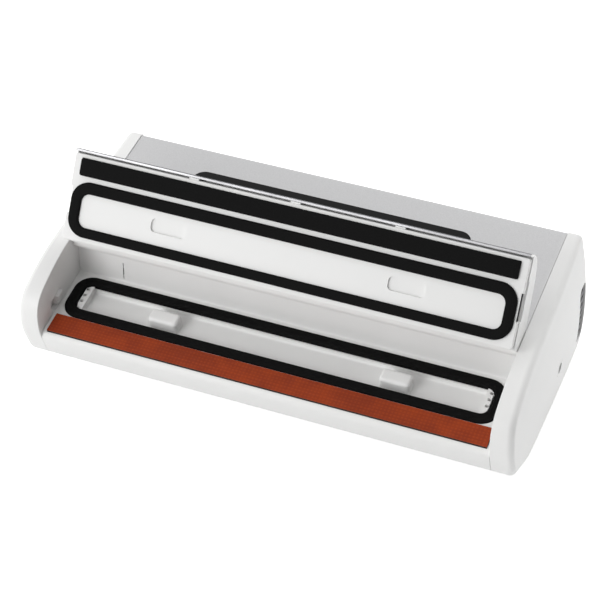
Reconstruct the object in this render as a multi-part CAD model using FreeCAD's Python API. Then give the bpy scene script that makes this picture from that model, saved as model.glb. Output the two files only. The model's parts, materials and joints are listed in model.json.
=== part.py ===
import FreeCAD, Part
import math
import os
from FreeCAD import Placement, Rotation, Vector

# A tabletop vacuum sealer, standing with its lid open. Millimetres, +Z up, X along the seal,
# -Y towards the user. The origin is on the table under the middle of the body.

# Body
body_depth = 188.0
foot_height = 3.0
body_rear_height = 107.0
rear_lean = 12.9
half_length = 180.5
cheek_width = 17.5
end_bow = 1.0
end_bow_behind = 20.0
end_crown = 4.2
end_crown_up = 38.4
end_edge_round = 4.5
cheek_inner_round = 0.6
skin = 3.0
seam_gap = 0.3
end_seam = 0.12
panel_recess = 0.8
tolerance = 1e-4
edge_tolerance = 0.01

# Side outline, as distances behind the front, below the rear top and above the underside
knee_back, knee_drop, knee_round = 34.0, 19.1, 140.0
nose_drop, nose_round = 36.0, 20.0
chin_drop, chin_round = 60.0, 50.0
lip_back, lip_up, lip_round = 12.0, 19.0, 14.0
belly_back, belly_round = 54.0, 30.0
rear_round = 8.0
rear_top_round = 5.0

# Sloping deck of the bag well
deck_tilt = 11.39
strip_front_back = 6.0
strip_drop = 61.43
deck_below_strip = 1.5
well_depth = 59.5
deck_front_round = 5.0
deck_rear_round = 1.0

# Seal bar
tape_end_gap = 3.0
tape_width = 16.1
tape_thickness = 0.45
bar_margin = 0.3
bar_depth = 7.5
wire_width = 4.0
wire_thickness = 0.25
wire_bed_gap = 0.05
wire_end_margin = 6.0
slot_gap = 0.3

# Vacuum chamber and its gaskets
gasket_end_gap = 3.5
gasket_tape_gap = 1.2
gasket_wall_gap = 3.5
gasket_band = 8.2
gasket_rear_band = 6.9
gasket_end_band = 7.7
gasket_round = 13.0
gasket_inner_round = 6.0
gasket_gap = 0.2
tray_flange_thickness = 2.0
tray_flange_margin = 2.0
trough_depth = 8.0
trough_wall = 2.0
trough_margin = 0.8
trough_floor_round = 2.0
ledge_length = 5.0
ledge_drop = 2.0
suction_hole_radius = 1.3
suction_hole_pitch = 5.6
suction_hole_inset, suction_hole_back = 1.6, 2.0
nipple_radius = 3.0
nipple_bore = 1.5
nipple_length = 7.0

# Bag stops standing in the chamber
stop_centre = 85.5
stop_length = 22.0
stop_front_gap, stop_width = 4.5, 11.0
stop_top = 2.0
stop_round = 3.0
stop_top_round = 2.5

# Lid
lid_end_gap = 0.35
lid_wall = 2.2
lid_open_angle = 130.0
lid_plane = 2.6
lid_front = -1.0
lid_panel_inset = 0.6
lid_panel_thickness = 3.0
lid_panel_behind = 0.2
lid_panel_round = 2.0
lid_panel_edge_round = 0.8
lid_edge_round = 0.8
lid_seam = 1.2
lid_lip_gap = 1.5
lid_lip_bottom = 2.5
lid_cover_thickness = 1.5
lid_cover_gap = 0.1
lid_cover_inset = 1.2
lid_cover_rear = 6.0
lid_skirt_inset = 2.6
lid_skirt_height = 9.0
hinge_behind = 3.2
hinge_up = 28.3
hinge_gap = 0.4
pin_radius = 2.5
pin_clearance = 0.06
pin_seat_clearance = 0.02
pin_in_lid = 10.0
pin_in_cap = 7.0
hinge_boss_radius = 6.0
lid_gasket_proud = 2.2
lid_groove_depth = 1.5
press_end_gap = 6.6
press_front, press_rear_inset = 1.5, 2.3
pocket_half_length = 13.0
pocket_front_gap, pocket_width = 1.0, 9.5
pocket_depth = 1.6
pocket_round = 3.0
snap_pitch = 73.5
snap_width = 7.0

# Lock hooks that hold the lid down
hook_front = 23.0
hook_width = 7.0
hook_travel = 7.5
hook_bottom, hook_head_bottom, hook_top = 0.5, 6.1, 9.5
hook_reach = 2.4
hook_stem_reach = 0.6
hook_gap = 0.4
hook_notch_front_gap = 1.0
hook_notch_rear = 41.5
lock_bar_height = 6.0
lock_bar_width = 5.0
lock_bar_drop = 22.0
lock_plate_thickness = 2.5
solenoid_length, solenoid_depth, solenoid_height = 22.0, 26.0, 18.0
solenoid_x = 96.0
plunger_radius = 3.0
plunger_clearance = 0.08
plunger_in_coil = 14.0
solenoid_gap = 3.4

# Rear top panel and controls
panel_thickness = 2.0
panel_rear_drop = 18.0
panel_seat_gap = 0.1
window_centre_x = -3.0
window_half_length = 105.0
window_depth = 46.0
window_rear_back = 25.4
window_round = 9.0
window_gap = 0.15
window_flange = 3.0
window_flange_thickness = 1.2
key_names = ("vacuum_key", "seal_key", "pulse_key", "mode_key", "cancel_key")
key_pitch = 38.0
key_length = 24.0
key_width = 13.0
key_round = 3.0
key_top_round = 0.4
key_proud = 0.8
key_travel = 1.2
key_gap = 0.25
key_flange = 1.5
key_flange_thickness = 1.2
key_stem_radius = 2.0
key_row_forward = 6.0
lens_radius = 1.6
lens_gap = 0.1
lens_row_back = 10.0
board_drop = 11.0
board_thickness = 1.6
board_margin = 4.0
switch_size = 6.0
switch_height = 3.5
post_radius = 2.5

# Feet and screws
foot_radius = 8.0
foot_chamfer = 0.75
foot_stem_radius = 2.9
foot_end_inset = 23.0
foot_seam_margin = 4.0
foot_rear_inset = 16.0
screw_x = 110.0
screw_head_radius = 3.0
screw_head_height = 1.6
screw_radius = 1.5
screw_length = 8.0
screw_recess_length, screw_recess_width, screw_recess_depth = 3.6, 0.75, 0.8
screw_hole_gap = 0.15
screw_rear_inset = 12.0
flange_width = 12.0
floor_seam_margin = 1.5

# Ports and vents
port_rear_inset, port_up = 74.0, 35.0
port_radius = 6.5
port_bore = 4.0
port_length = 18.0
port_hole_gap = 0.15
inlet_end_inset = 35.0
inlet_up = 27.0
inlet_length, inlet_height, inlet_depth = 22.0, 14.0, 19.0
inlet_socket_length, inlet_socket_height, inlet_socket_depth = 17.0, 8.6, 15.0
inlet_pin_radius = 1.2
inlet_pin_pitch = 8.6
inlet_pin_length = 11.0
inlet_gap = 0.2
vent_rear_inset, vent_up = 16.0, 41.0
vent_width, vent_height = 15.0, 51.0
vent_thickness = 4.0
vent_gap = 0.2
vent_recess = 1.2
vent_round = 5.0
vent_slot_count = 7
vent_slot_width, vent_slot_height = 9.0, 3.0
vent_slot_pitch = 6.6

# Pump
pump_rear_inset = 49.0
pump_up = 30.0
motor_left, motor_length, motor_radius = -96.0, 54.0, 18.0
motor_boss_radius, motor_boss_length = 6.0, 3.0
head_length, head_width, head_height, head_wall = 31.0, 40.0, 40.0, 4.0
shaft_radius = 2.0
shaft_clearance = 0.05
crank_radius, crank_throw, crank_length = 7.0, 3.0, 6.0
crank_offset = 8.0
head_bore_gap = 0.1
head_dome_radius, head_dome_height = 13.0, 8.0
outlet_up = 10.0
diaphragm_thickness = 2.0
diaphragm_gap = 1.5
saddle_width = 30.0
saddle_gap = 0.1
saddle_wall = 4.0
saddle_drop = 9.0
bracket_thickness = 2.5

# Vacuum hoses and manifold
manifold_x, manifold_up = 40.0, 23.0
manifold_length, manifold_height = 16.0, 14.0
manifold_front_inset, manifold_rear_inset = 92.0, 52.0
tray_hose_inset = 84.0
pump_hose_inset = 68.0
port_hose_inset = 59.0
port_hose_run = 20.0
hose_radius = 4.2
hose_bore = 3.05
hose_bend = 14.0
pump_hose_bend = 5.0
hose_cover = 5.0
valve_radius, valve_length = 7.0, 20.0
sensor_length, sensor_depth, sensor_height = 12.0, 14.0, 8.0

# Electronics
power_board_length, power_board_depth, power_board_thickness = 84.0, 34.0, 1.6
power_board_end_inset, power_board_rear_inset, power_board_up = 17.0, 20.0, 13.0
transformer_length, transformer_depth, transformer_height = 40.0, 26.0, 34.0
transformer_coil_inset = 8.0
transformer_coil_proud = 3.0
capacitor_radius, capacitor_height = 6.5, 22.0
capacitor_pitch = 16.0
capacitor_gap = 6.5
standoff_radius = 3.0
standoff_inset = 5.0
lid_switch_end_inset = 35.0
lid_switch_length, lid_switch_depth, lid_switch_height = 20.0, 6.5, 10.0
lid_switch_slot_width = 0.7
lid_switch_slot_bottom, lid_switch_slot_top = 1.0, 16.0
lid_switch_lever_thickness = 0.4

# Places worked out from the sizes above
front = -body_depth / 2
back = body_depth / 2
underside = foot_height
top_level = underside + body_rear_height
tilt = math.radians(deck_tilt)
deck = Placement(Vector(0, front + strip_front_back, top_level - strip_drop),
                 Rotation(Vector(1, 0, 0), deck_tilt))
rear_face_lean = math.atan2(rear_lean, body_rear_height)
rear_corner = back - rear_round + rear_round / math.tan((math.pi / 2 - rear_face_lean) / 2)
rear_top = (rear_corner - rear_lean, top_level)
knee = (front + knee_back, top_level - knee_drop)
panel_slope = math.atan2(rear_top[1] - knee[1], rear_top[0] - knee[0])
panel = Placement(Vector(0, rear_top[0], rear_top[1]),
                  Rotation(Vector(1, 0, 0), math.degrees(panel_slope)))
well_half_length = half_length - cheek_width
tape_half_length = well_half_length - tape_end_gap
gasket_half_length = well_half_length - gasket_end_gap
lid_half_length = well_half_length - lid_end_gap
lid_panel_half_length = lid_half_length - lid_panel_inset
press_half_length = well_half_length - press_end_gap
gasket_front = tape_width + gasket_tape_gap
gasket_rear = well_depth - gasket_wall_gap
stop_front = gasket_front + gasket_band + stop_front_gap
pocket_front = stop_front + pocket_front_gap
press_rear = tape_width - press_rear_inset
power_board_left = well_half_length - power_board_end_inset - power_board_length
power_board_front = back - power_board_rear_inset - power_board_depth
lid_switch_x = lid_switch_end_inset - well_half_length
deck_surface = -deck_below_strip
deck_underside = deck_surface - skin
well_wall = deck.multVec(Vector(0, well_depth, deck_surface))
hinge = deck.multVec(Vector(0, well_depth + hinge_behind, hinge_up))
pan_top = underside + skin
belly_turn = math.atan2(lip_up, belly_back - lip_back)
floor_seam = front + belly_back + belly_round * math.tan(belly_turn / 2) + floor_seam_margin
front_screws = floor_seam + flange_width / 2
rear_screws = back - screw_rear_inset

outline = [
    (rear_corner, underside, rear_round),
    (rear_top[0], rear_top[1], rear_top_round),
    (knee[0], knee[1], knee_round),
    (front, top_level - nose_drop, nose_round),
    (front, top_level - chin_drop, chin_round),
    (front + lip_back, underside + lip_up, lip_round),
    (front + belly_back, underside, belly_round),
]


def directions(points, closed):
    # Unit direction of the run that leaves each point
    runs = []
    count = len(points)
    last = count if closed else count - 1
    for i in range(last):
        after = points[(i + 1) % count]
        run = Vector(after[0] - points[i][0], after[1] - points[i][1], 0)
        runs.append(run.normalize())
    return runs


def inset(points, distance, closed=True):
    # Moves every run of a path to its left by a distance, with its rounds kept parallel
    runs = directions(points, closed)
    moved = []
    for i, (a, b, radius) in enumerate(points):
        before = runs[i - 1] if closed or i > 0 else runs[0]
        after = runs[i % len(runs)] if closed or i < len(runs) else runs[-1]
        left_before = Vector(-before.y, before.x, 0)
        left_after = Vector(-after.y, after.x, 0)
        shift = (left_before + left_after) * (distance / (1 + left_before.dot(left_after)))
        turn = before.x * after.y - before.y * after.x
        new_radius = radius - distance if turn > 0 else radius + distance
        moved.append((a + shift.x, b + shift.y, max(new_radius, 0) if radius > 0 else 0))
    return moved


def rounded_edges(points, place, closed=True):
    # Straight runs joined by tangent arcs
    count = len(points)
    starts, middles, ends = [], [], []
    for i, (a, b, radius) in enumerate(points):
        here = Vector(a, b, 0)
        starts.append(here)
        middles.append(None)
        ends.append(here)
        if radius <= 0 or (not closed and i in (0, count - 1)):
            continue
        before = Vector(points[i - 1][0] - a, points[i - 1][1] - b, 0).normalize()
        after_point = points[(i + 1) % count]
        after = Vector(after_point[0] - a, after_point[1] - b, 0).normalize()
        half = before.getAngle(after) / 2
        middle_line = (before + after).normalize()
        run = radius / math.tan(half)
        starts[i] = here + before * run
        ends[i] = here + after * run
        middles[i] = here + middle_line * (radius / math.sin(half) - radius)
    edges = []
    for i in range(count):
        if middles[i]:
            edges.append(Part.Arc(place(starts[i]), place(middles[i]), place(ends[i])).toShape())
        if closed or i < count - 1:
            following = starts[(i + 1) % count]
            if ends[i].distanceToPoint(following) > tolerance:
                edges.append(Part.LineSegment(place(ends[i]), place(following)).toShape())
    return edges


def side_prism(points, left, right):
    # A closed side outline extruded along X
    wire = Part.Wire(rounded_edges(points, lambda p: Vector(left, p.x, p.y)))
    return Part.Face(wire).extrude(Vector(right - left, 0, 0))


def side_wall(points, thickness, left, right):
    # An open side path with a thickness on its right, extruded along X
    inner = inset(points, -thickness, False)

    def place(p):
        return Vector(left, p.x, p.y)

    edges = rounded_edges(points, place, False) + rounded_edges(inner, place, False)
    for end in (0, -1):
        outer_end = Vector(points[end][0], points[end][1], 0)
        inner_end = Vector(inner[end][0], inner[end][1], 0)
        edges.append(Part.LineSegment(place(outer_end), place(inner_end)).toShape())
    wire = Part.Wire(Part.__sortEdges__(edges))
    return Part.Face(wire).extrude(Vector(right - left, 0, 0))


def box(x0, x1, y0, y1, z0, z1):
    return Part.makeBox(x1 - x0, y1 - y0, z1 - z0, Vector(x0, y0, z0))


def plate(x0, x1, y0, y1, z0, z1, radius):
    # A flat plate with rounded corners
    corners = [(x1, y0, radius), (x1, y1, radius), (x0, y1, radius), (x0, y0, radius)]
    wire = Part.Wire(rounded_edges(corners, lambda p: Vector(p.x, p.y, z0)))
    return Part.Face(wire).extrude(Vector(0, 0, z1 - z0))


def rod(radius, start, end):
    return Part.makeCylinder(radius, (end - start).Length, start, end - start)


def moved(shape, frame):
    placed = shape.copy()
    placed.Placement = frame.multiply(placed.Placement)
    return placed


def on_deck(shape):
    return moved(shape, deck)


def on_panel(shape):
    return moved(shape, panel)


def opened(shape):
    # Turns a lid piece from closed to its open rest
    turned = shape.copy()
    turned.rotate(hinge, Vector(1, 0, 0), -lid_open_angle)
    return turned


def mirrored(shape):
    return shape.mirror(Vector(0, 0, 0), Vector(1, 0, 0))


def hose(points, bend):
    # A round hose along straight runs and arcs
    edges = []
    start = points[0]
    for before, here, after in zip(points, points[1:], points[2:]):
        back_way = (before - here).normalize()
        on_way = (after - here).normalize()
        half = back_way.getAngle(on_way) / 2
        run = bend / math.tan(half)
        middle = (back_way + on_way).normalize() * (bend / math.sin(half) - bend)
        edges.append(Part.LineSegment(start, here + back_way * run).toShape())
        edges.append(Part.Arc(here + back_way * run, here + middle, here + on_way * run).toShape())
        start = here + on_way * run
    edges.append(Part.LineSegment(start, points[-1]).toShape())
    path = Part.Wire(edges)
    heading = points[1] - points[0]
    shells = []
    for radius in (hose_radius, hose_bore):
        ring = Part.Wire(Part.makeCircle(radius, points[0], heading))
        shells.append(path.makePipeShell([ring], True, True))
    return shells[0].cut(shells[1])


# Body shells

def end_prism(points, inner_x, bow_inset):
    # The body's side outline, cut to the crowned outer end
    solid = side_prism(points, inner_x, half_length + end_crown)
    return solid.common(crown_block(bow_inset)).Solids[0], crown_radius() - bow_inset


def crown_block(bow_inset):
    # An upright arc swept about a far upright axis, so that the end bulges both ways
    radius = crown_radius() - bow_inset
    middle = Vector(half_length - crown_radius(), end_bow_behind, underside + end_crown_up)
    reach = math.sqrt(radius ** 2 - body_rear_height ** 2)
    low = middle + Vector(reach, 0, -body_rear_height)
    high = middle + Vector(reach, 0, body_rear_height)
    inner_low = Vector(0, low.y, low.z)
    inner_high = Vector(0, high.y, high.z)
    edges = [
        Part.LineSegment(inner_low, low).toShape(),
        Part.Arc(low, middle + Vector(radius, 0, 0), high).toShape(),
        Part.LineSegment(high, inner_high).toShape(),
        Part.LineSegment(inner_high, inner_low).toShape(),
    ]
    profile = Part.Face(Part.Wire(edges))
    axis = Vector(half_length - bow_radius(), end_bow_behind, 0)
    half_sweep = math.degrees(body_depth / bow_radius())
    profile.rotate(axis, Vector(0, 0, 1), -half_sweep)
    return profile.revolve(axis, Vector(0, 0, 1), 2 * half_sweep)


def bow_radius():
    # Radius of the outer end seen from above
    return (back ** 2 + end_bow ** 2) / (2 * end_bow)


def crown_radius():
    # Radius of the outer end seen from the front
    return (body_rear_height ** 2 / 4 + end_crown ** 2) / (2 * end_crown)


def is_round(face, radius):
    return isinstance(face.Surface, Part.Toroid) and abs(face.Surface.MinorRadius - radius) < tolerance


def flat_edges(shape, side):
    # Edges that lie in one side of a shape's box, such as its XMin or ZMax
    level = getattr(shape.BoundBox, side)
    low = side[0] + "Min"
    high = side[0] + "Max"
    found = []
    for edge in shape.Edges:
        limits = (getattr(edge.BoundBox, low), getattr(edge.BoundBox, high))
        if max(abs(limit - level) for limit in limits) < edge_tolerance:
            found.append(edge)
    return found


def bow_at(y, z):
    # X of the crowned outer face at a depth and a height
    rise = z - underside - end_crown_up
    reach = bow_radius() - crown_radius() + math.sqrt(crown_radius() ** 2 - rise ** 2)
    return half_length - bow_radius() + math.sqrt(reach ** 2 - (y - end_bow_behind) ** 2)


def hook_slot():
    # The slot that a lock hook slides along, in the deck frame
    low = hook_front - hook_travel - hook_gap
    high = hook_front + hook_width + hook_gap
    far = well_half_length + 2 * skin
    return on_deck(box(well_half_length - skin, far, low, high, hook_bottom - hook_gap, hook_top + hook_gap))


def end_cap():
    shell, radius = end_prism(outline, well_half_length, 0)
    inner = [face for face in shell.Faces if abs(face.CenterOfMass.x - well_half_length) < tolerance]
    shell = shell.makeFillet(cheek_inner_round, inner[0].OuterWire.Edges)
    bowed = [face for face in shell.Faces if is_round(face, radius)]
    shell = shell.makeFillet(end_edge_round, bowed[0].OuterWire.Edges)
    hollow = end_prism(inset(outline, skin), well_half_length + skin, skin)[0]
    shell = shell.cut(hollow)
    # The inner side stays closed beside the bag well and is open behind and below it
    rim = inset(outline, 2 * skin)
    inner_side = side_prism(rim, well_half_length - skin, well_half_length + 2 * skin)
    behind = box(0, 2 * half_length, well_wall.y + skin + flange_width, back, underside, 2 * body_rear_height)
    below = on_deck(box(0, 2 * half_length, -body_depth, 2 * body_depth, -body_depth, deck_underside - skin))
    shell = shell.cut(inner_side.common(behind.fuse(below)))
    axis_start = Vector(well_half_length, hinge.y, hinge.z)
    boss = rod(hinge_boss_radius, axis_start + Vector(skin, 0, 0), axis_start + Vector(pin_in_cap, 0, 0))
    shell = shell.fuse(boss.common(end_prism(inset(outline, skin / 2), well_half_length, skin)[0]))
    seat_start = axis_start - Vector(skin, 0, 0)
    seat = rod(pin_radius + pin_seat_clearance, seat_start, axis_start + Vector(pin_in_cap, 0, 0))
    shell = shell.cut(seat).cut(hook_slot())
    return shell.cut(vent_body(vent_gap)).removeSplitter()


def right_end_cap():
    middle = port_middle()
    through = Vector(port_length, 0, 0)
    hole = rod(port_radius + port_hole_gap, middle - through, middle + through)
    return end_cap().cut(hole)


def left_end_cap():
    return mirrored(end_cap())


def front_housing_path():
    # The visible side of the front lip, deck, back wall, hinge gutter and lid rest
    nose = front_nose()
    gutter = barrel_radius() + hinge_gap
    wall_angle = -math.acos((well_wall.y - hinge.y) / gutter)
    rest_angle = math.radians(90 - lid_open_angle) + panel_slope
    wall_top = hinge.z + gutter * math.sin(wall_angle)
    half_turn = (rest_angle - wall_angle) / 2
    middle_angle = (rest_angle + wall_angle) / 2
    gutter_corner = gutter / math.cos(half_turn)
    corner_y = hinge.y + gutter_corner * math.cos(middle_angle)
    corner_z = hinge.z + gutter_corner * math.sin(middle_angle)
    rest = lid_rest_end()
    return [
        (floor_seam, underside, 0),
        (front + belly_back, underside, belly_round),
        (front + lip_back, underside + lip_up, lip_round),
        (nose.x, nose.y, deck_front_round),
        (well_wall.y, well_wall.z, deck_rear_round),
        (well_wall.y, wall_top, hinge_gap),
        (corner_y, corner_z, gutter),
        (rest.x, rest.y, 0),
    ]


def front_nose():
    # Where the front face meets the deck
    lip = Vector(front + lip_back, underside + lip_up, 0)
    face = Vector(front, top_level - chin_drop, 0) - lip
    level = deck.multVec(Vector(0, 0, deck_surface))
    slope = math.tan(tilt)
    share = (level.z - lip.y + slope * (lip.x - level.y)) / (face.y - slope * face.x)
    return lip + face * share


def above_hinge(y, recess):
    # Height of the panel plane, set in by a recess, at a depth
    return rear_top[1] + (y - rear_top[0]) * math.tan(panel_slope) - recess / math.cos(panel_slope)


def barrel_radius():
    # The lid's hinge barrel reaches up to the lid's own outer surface
    return (above_hinge(hinge.y, panel_recess) - hinge.z) * math.cos(panel_slope)


def lid_rest_end():
    # Top of the slope on which the open lid rests, at the panel's surface
    gutter = barrel_radius() + hinge_gap
    angle = math.radians(90 - lid_open_angle) + panel_slope
    start = Vector(hinge.y + gutter * math.cos(angle), hinge.z + gutter * math.sin(angle), 0)
    way = Vector(-math.sin(angle), math.cos(angle), 0)
    rise = math.tan(panel_slope)
    share = (above_hinge(start.x, panel_recess) - start.y) / (way.y - rise * way.x)
    return start + way * share


def front_housing():
    half = well_half_length - end_seam
    housing = side_wall(front_housing_path(), skin, -half, half)
    tongue = box(-half, half, floor_seam - flange_width, floor_seam + flange_width, pan_top, pan_top + skin)
    floor = side_prism(outline, -half, half)
    housing = housing.fuse(tongue.common(floor))
    slot_half = tape_half_length + slot_gap
    bar_slot = box(-slot_half, slot_half, -slot_gap, tape_width + slot_gap, deck_underside - skin, skin)
    housing = housing.cut(on_deck(bar_slot))
    housing = housing.cut(on_deck(gasket_block(gasket_gap, deck_underside - skin, skin)))
    slot_left = lid_switch_x - lid_switch_slot_width / 2
    slot_bottom = well_wall.z + lid_switch_slot_bottom + deck_rear_round
    switch_slot = box(slot_left, slot_left + lid_switch_slot_width, well_wall.y - skin,
                      well_wall.y + 2 * skin, slot_bottom, well_wall.z + lid_switch_slot_top)
    housing = housing.cut(switch_slot)
    for x in screw_places():
        housing = housing.cut(screw_hole(x, front_screws))
    above = box(-half, half, -body_depth, 0, -panel_recess - panel_thickness - panel_seat_gap, body_depth)
    return housing.cut(on_panel(above)).removeSplitter()


def screw_places():
    return (-screw_x, 0.0, screw_x)


def screw_hole(x, y):
    start = Vector(x, y, underside)
    return rod(screw_radius, start, start + Vector(0, 0, screw_head_height + screw_length))


def skin_ring(thickness, recess):
    half = well_half_length - seam_gap
    outer = side_prism(inset(outline, recess), -half, half)
    return outer.cut(side_prism(inset(outline, recess + thickness), -2 * half, 2 * half))


def base_pan():
    half = well_half_length - seam_gap
    pan = box(-half, half, floor_seam + seam_gap, back - rear_round - seam_gap, underside, pan_top)
    for x, y in foot_places():
        pan = pan.cut(rod(foot_stem_radius, Vector(x, y, underside), Vector(x, y, pan_top)))
    for x in screw_places():
        for y in (front_screws, rear_screws):
            start_point = Vector(x, y, underside)
            sink = start_point + Vector(0, 0, screw_head_height + screw_hole_gap)
            pan = pan.cut(rod(screw_head_radius + screw_hole_gap, start_point, sink))
            pan = pan.cut(rod(screw_radius + screw_hole_gap, start_point, Vector(x, y, pan_top)))
    for x, y in standoff_places():
        start_point = Vector(x, y, underside)
        pan = pan.fuse(rod(standoff_radius, start_point, start_point + Vector(0, 0, power_board_up)))
    return pan.removeSplitter()


def rear_cover():
    ring = skin_ring(skin, panel_recess)
    top = rear_top[1] - panel_rear_drop - seam_gap
    lower = box(-half_length, half_length, back - rear_round, body_depth, 0, top)
    upper = box(-half_length, half_length, 0, body_depth, 2 * pan_top + skin, top)
    cover = ring.common(lower.fuse(upper))
    half = well_half_length - seam_gap
    tongue = box(-half, half, rear_screws - flange_width / 2, back, pan_top, pan_top + skin)
    cover = cover.fuse(tongue.common(side_prism(inset(outline, panel_recess), -half, half)))
    for x in screw_places():
        cover = cover.cut(screw_hole(x, rear_screws))
    cover = cover.cut(moved(inlet_block(inlet_gap, 2 * skin), inlet_frame()))
    return cover.removeSplitter()


def rear_top_panel():
    ring = skin_ring(panel_thickness, panel_recess)
    start = lid_rest_end().x + seam_gap
    keep = box(-half_length, half_length, start, body_depth, rear_top[1] - panel_rear_drop, body_depth)
    opening = window_block(0, -4 * panel_thickness, panel_thickness)
    return ring.common(keep).cut(on_panel(opening)).removeSplitter()


# Feet and screws

def foot_places():
    rows = (floor_seam + foot_radius + foot_seam_margin, back - foot_rear_inset)
    foot_x = well_half_length - foot_end_inset
    return [(x, y) for y in rows for x in (-foot_x, foot_x)]


def rubber_feet():
    feet = []
    for x, y in foot_places():
        pad = rod(foot_radius, Vector(x, y, 0), Vector(x, y, underside))
        pad = pad.makeChamfer(foot_chamfer, [pad.Edges[2]])
        stem = rod(foot_stem_radius, Vector(x, y, underside), Vector(x, y, pan_top))
        feet.append(pad.fuse(stem).removeSplitter())
    return Part.makeCompound(feet)


def base_screws():
    screws = []
    for x in screw_places():
        for y in (front_screws, rear_screws):
            bottom = Vector(x, y, underside + screw_hole_gap)
            neck = bottom + Vector(0, 0, screw_head_height)
            head = rod(screw_head_radius, bottom, neck)
            shank = rod(screw_radius, neck, neck + Vector(0, 0, screw_length - screw_head_height))
            arms = (screw_recess_length, screw_recess_width)
            for length, width in (arms, arms[::-1]):
                head = head.cut(box(x - length / 2, x + length / 2, y - width / 2, y + width / 2,
                                    bottom.z, bottom.z + screw_recess_depth))
            screws.append(head.fuse(shank))
    return Part.makeCompound(screws)


# Seal bar

def bar_top():
    return -tape_thickness - wire_thickness - wire_bed_gap


def seal_bar():
    top = bar_top()
    bar = box(-tape_half_length, tape_half_length, bar_margin, tape_width - bar_margin, top - bar_depth, top)
    return on_deck(bar)


def heating_wire():
    near = (tape_width - wire_width) / 2
    half = tape_half_length - wire_end_margin
    return on_deck(box(-half, half, near, near + wire_width, bar_top(), bar_top() + wire_thickness))


def ptfe_tape():
    return on_deck(box(-tape_half_length, tape_half_length, 0, tape_width, -tape_thickness, 0))


# Vacuum chamber

def gasket_block(grow, bottom, top):
    half = gasket_half_length + grow
    return plate(-half, half, gasket_front - grow, gasket_rear + grow, bottom, top, gasket_round + grow)


def gasket_hole(grow, bottom, top):
    half = gasket_half_length - gasket_end_band + grow
    return plate(-half, half, gasket_front + gasket_band - grow, gasket_rear - gasket_rear_band + grow,
                 bottom, top, gasket_inner_round + grow)


def tray_top():
    return deck_underside - gasket_gap


def lower_gasket():
    bottom = tray_top()
    ring = gasket_block(0, bottom, 0).cut(gasket_hole(0, bottom, 0))
    return on_deck(ring)


def chamber_tray():
    top = tray_top()
    half = min(well_half_length - 2 * seam_gap, gasket_half_length + tray_flange_margin)
    flange = box(-half, half, tape_width + 2 * slot_gap, gasket_rear + tray_flange_margin,
                 top - tray_flange_thickness, top)
    floor = -trough_depth
    pan_outer = gasket_hole(trough_wall - trough_margin, floor - trough_wall, top)
    trough = gasket_hole(-trough_margin, floor, top)
    trough = trough.makeFillet(trough_floor_round, flat_edges(trough, "ZMin"))
    tray = flange.fuse(pan_outer).cut(trough)
    ledge_outer = gasket_half_length - gasket_end_band - trough_margin
    ledge_front = gasket_front + gasket_band + trough_margin
    ledge_rear = gasket_rear - gasket_rear_band - trough_margin
    middle = (ledge_front + ledge_rear) / 2
    ledge = box(ledge_outer - ledge_length, ledge_outer, ledge_front, ledge_rear, floor, -ledge_drop)
    end_piece = ledge.common(gasket_hole(-trough_margin, floor, 0))
    nipple_x = ledge_outer - ledge_length / 2
    hole_x = ledge_outer - suction_hole_inset
    hole_middle = middle + suction_hole_back
    gallery = suction_hole_pitch + suction_hole_radius
    for side in (-1, 1):
        x = side * nipple_x
        tail = Vector(x, middle, floor - trough_wall - nipple_length)
        end = end_piece if side > 0 else mirrored(end_piece)
        tray = tray.fuse(end).fuse(rod(nipple_radius, tail, Vector(x, middle, floor)))
        tray = tray.cut(rod(nipple_bore, tail, Vector(x, middle, floor + nipple_bore)))
        tray = tray.cut(box(x - nipple_bore, x + nipple_bore, hole_middle - gallery, hole_middle + gallery,
                            floor, floor + nipple_bore))
        for step in (-1, 0, 1):
            foot = Vector(side * hole_x, hole_middle + step * suction_hole_pitch, floor)
            tray = tray.cut(rod(suction_hole_radius, foot, foot + Vector(0, 0, trough_depth)))
    return on_deck(tray.removeSplitter())


def bag_stops():
    stops = []
    for sign in (-1, 1):
        x = sign * stop_centre
        post = plate(x - stop_length / 2, x + stop_length / 2, stop_front, stop_front + stop_width,
                     -trough_depth, stop_top, stop_round)
        stops.append(on_deck(post.makeFillet(stop_top_round, flat_edges(post, "ZMax"))))
    return Part.makeCompound(stops)


# Lid, drawn closed and turned open

def lid_block(half, recess):
    # The closed lid between the cheeks, ahead of the hinge: over the inner panel, and a lip before it
    body = side_prism(inset(outline, recess), -half, half)
    parting = lid_plane + lid_panel_thickness + lid_seam
    over_panel = box(-half, half, -body_depth, body_depth, parting, body_depth)
    lip = box(-half, half, -body_depth, lid_front - lid_lip_gap, lid_lip_bottom, body_depth)
    ahead = box(-half, half, front, hinge.y, 0, body_depth)
    return body.common(on_deck(over_panel.fuse(lip))).common(ahead)


def outer_edges(block, side):
    # End edges of the lid block on its outer face, clear of the inner panel and the hinge
    frame = deck.inverse()
    limit = lid_plane + lid_panel_thickness + lid_seam
    found = []
    for edge in flat_edges(block, side):
        middle = frame.multVec(edge.CenterOfMass)
        if middle.z > limit + edge_tolerance and edge.CenterOfMass.y < hinge.y - edge_tolerance:
            found.append(edge)
    return found


def hook_window(front_y, rear_y, inner_x, bottom, top):
    window = box(inner_x, 2 * well_half_length, front_y, rear_y, bottom, top)
    return window.fuse(mirrored(window))


def lid_cover_block(grow):
    # A sheet over the lid's outer face, from the front lip to just before the hinge
    half = lid_half_length - lid_cover_inset + grow
    sheet = lid_block(half, panel_recess).cut(lid_block(2 * half, panel_recess + lid_cover_thickness + grow))
    return sheet.common(box(-half, half, front, hinge.y - lid_cover_rear + grow, 0, body_depth))


def lid_cover():
    return opened(lid_cover_block(0).removeSplitter())


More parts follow.
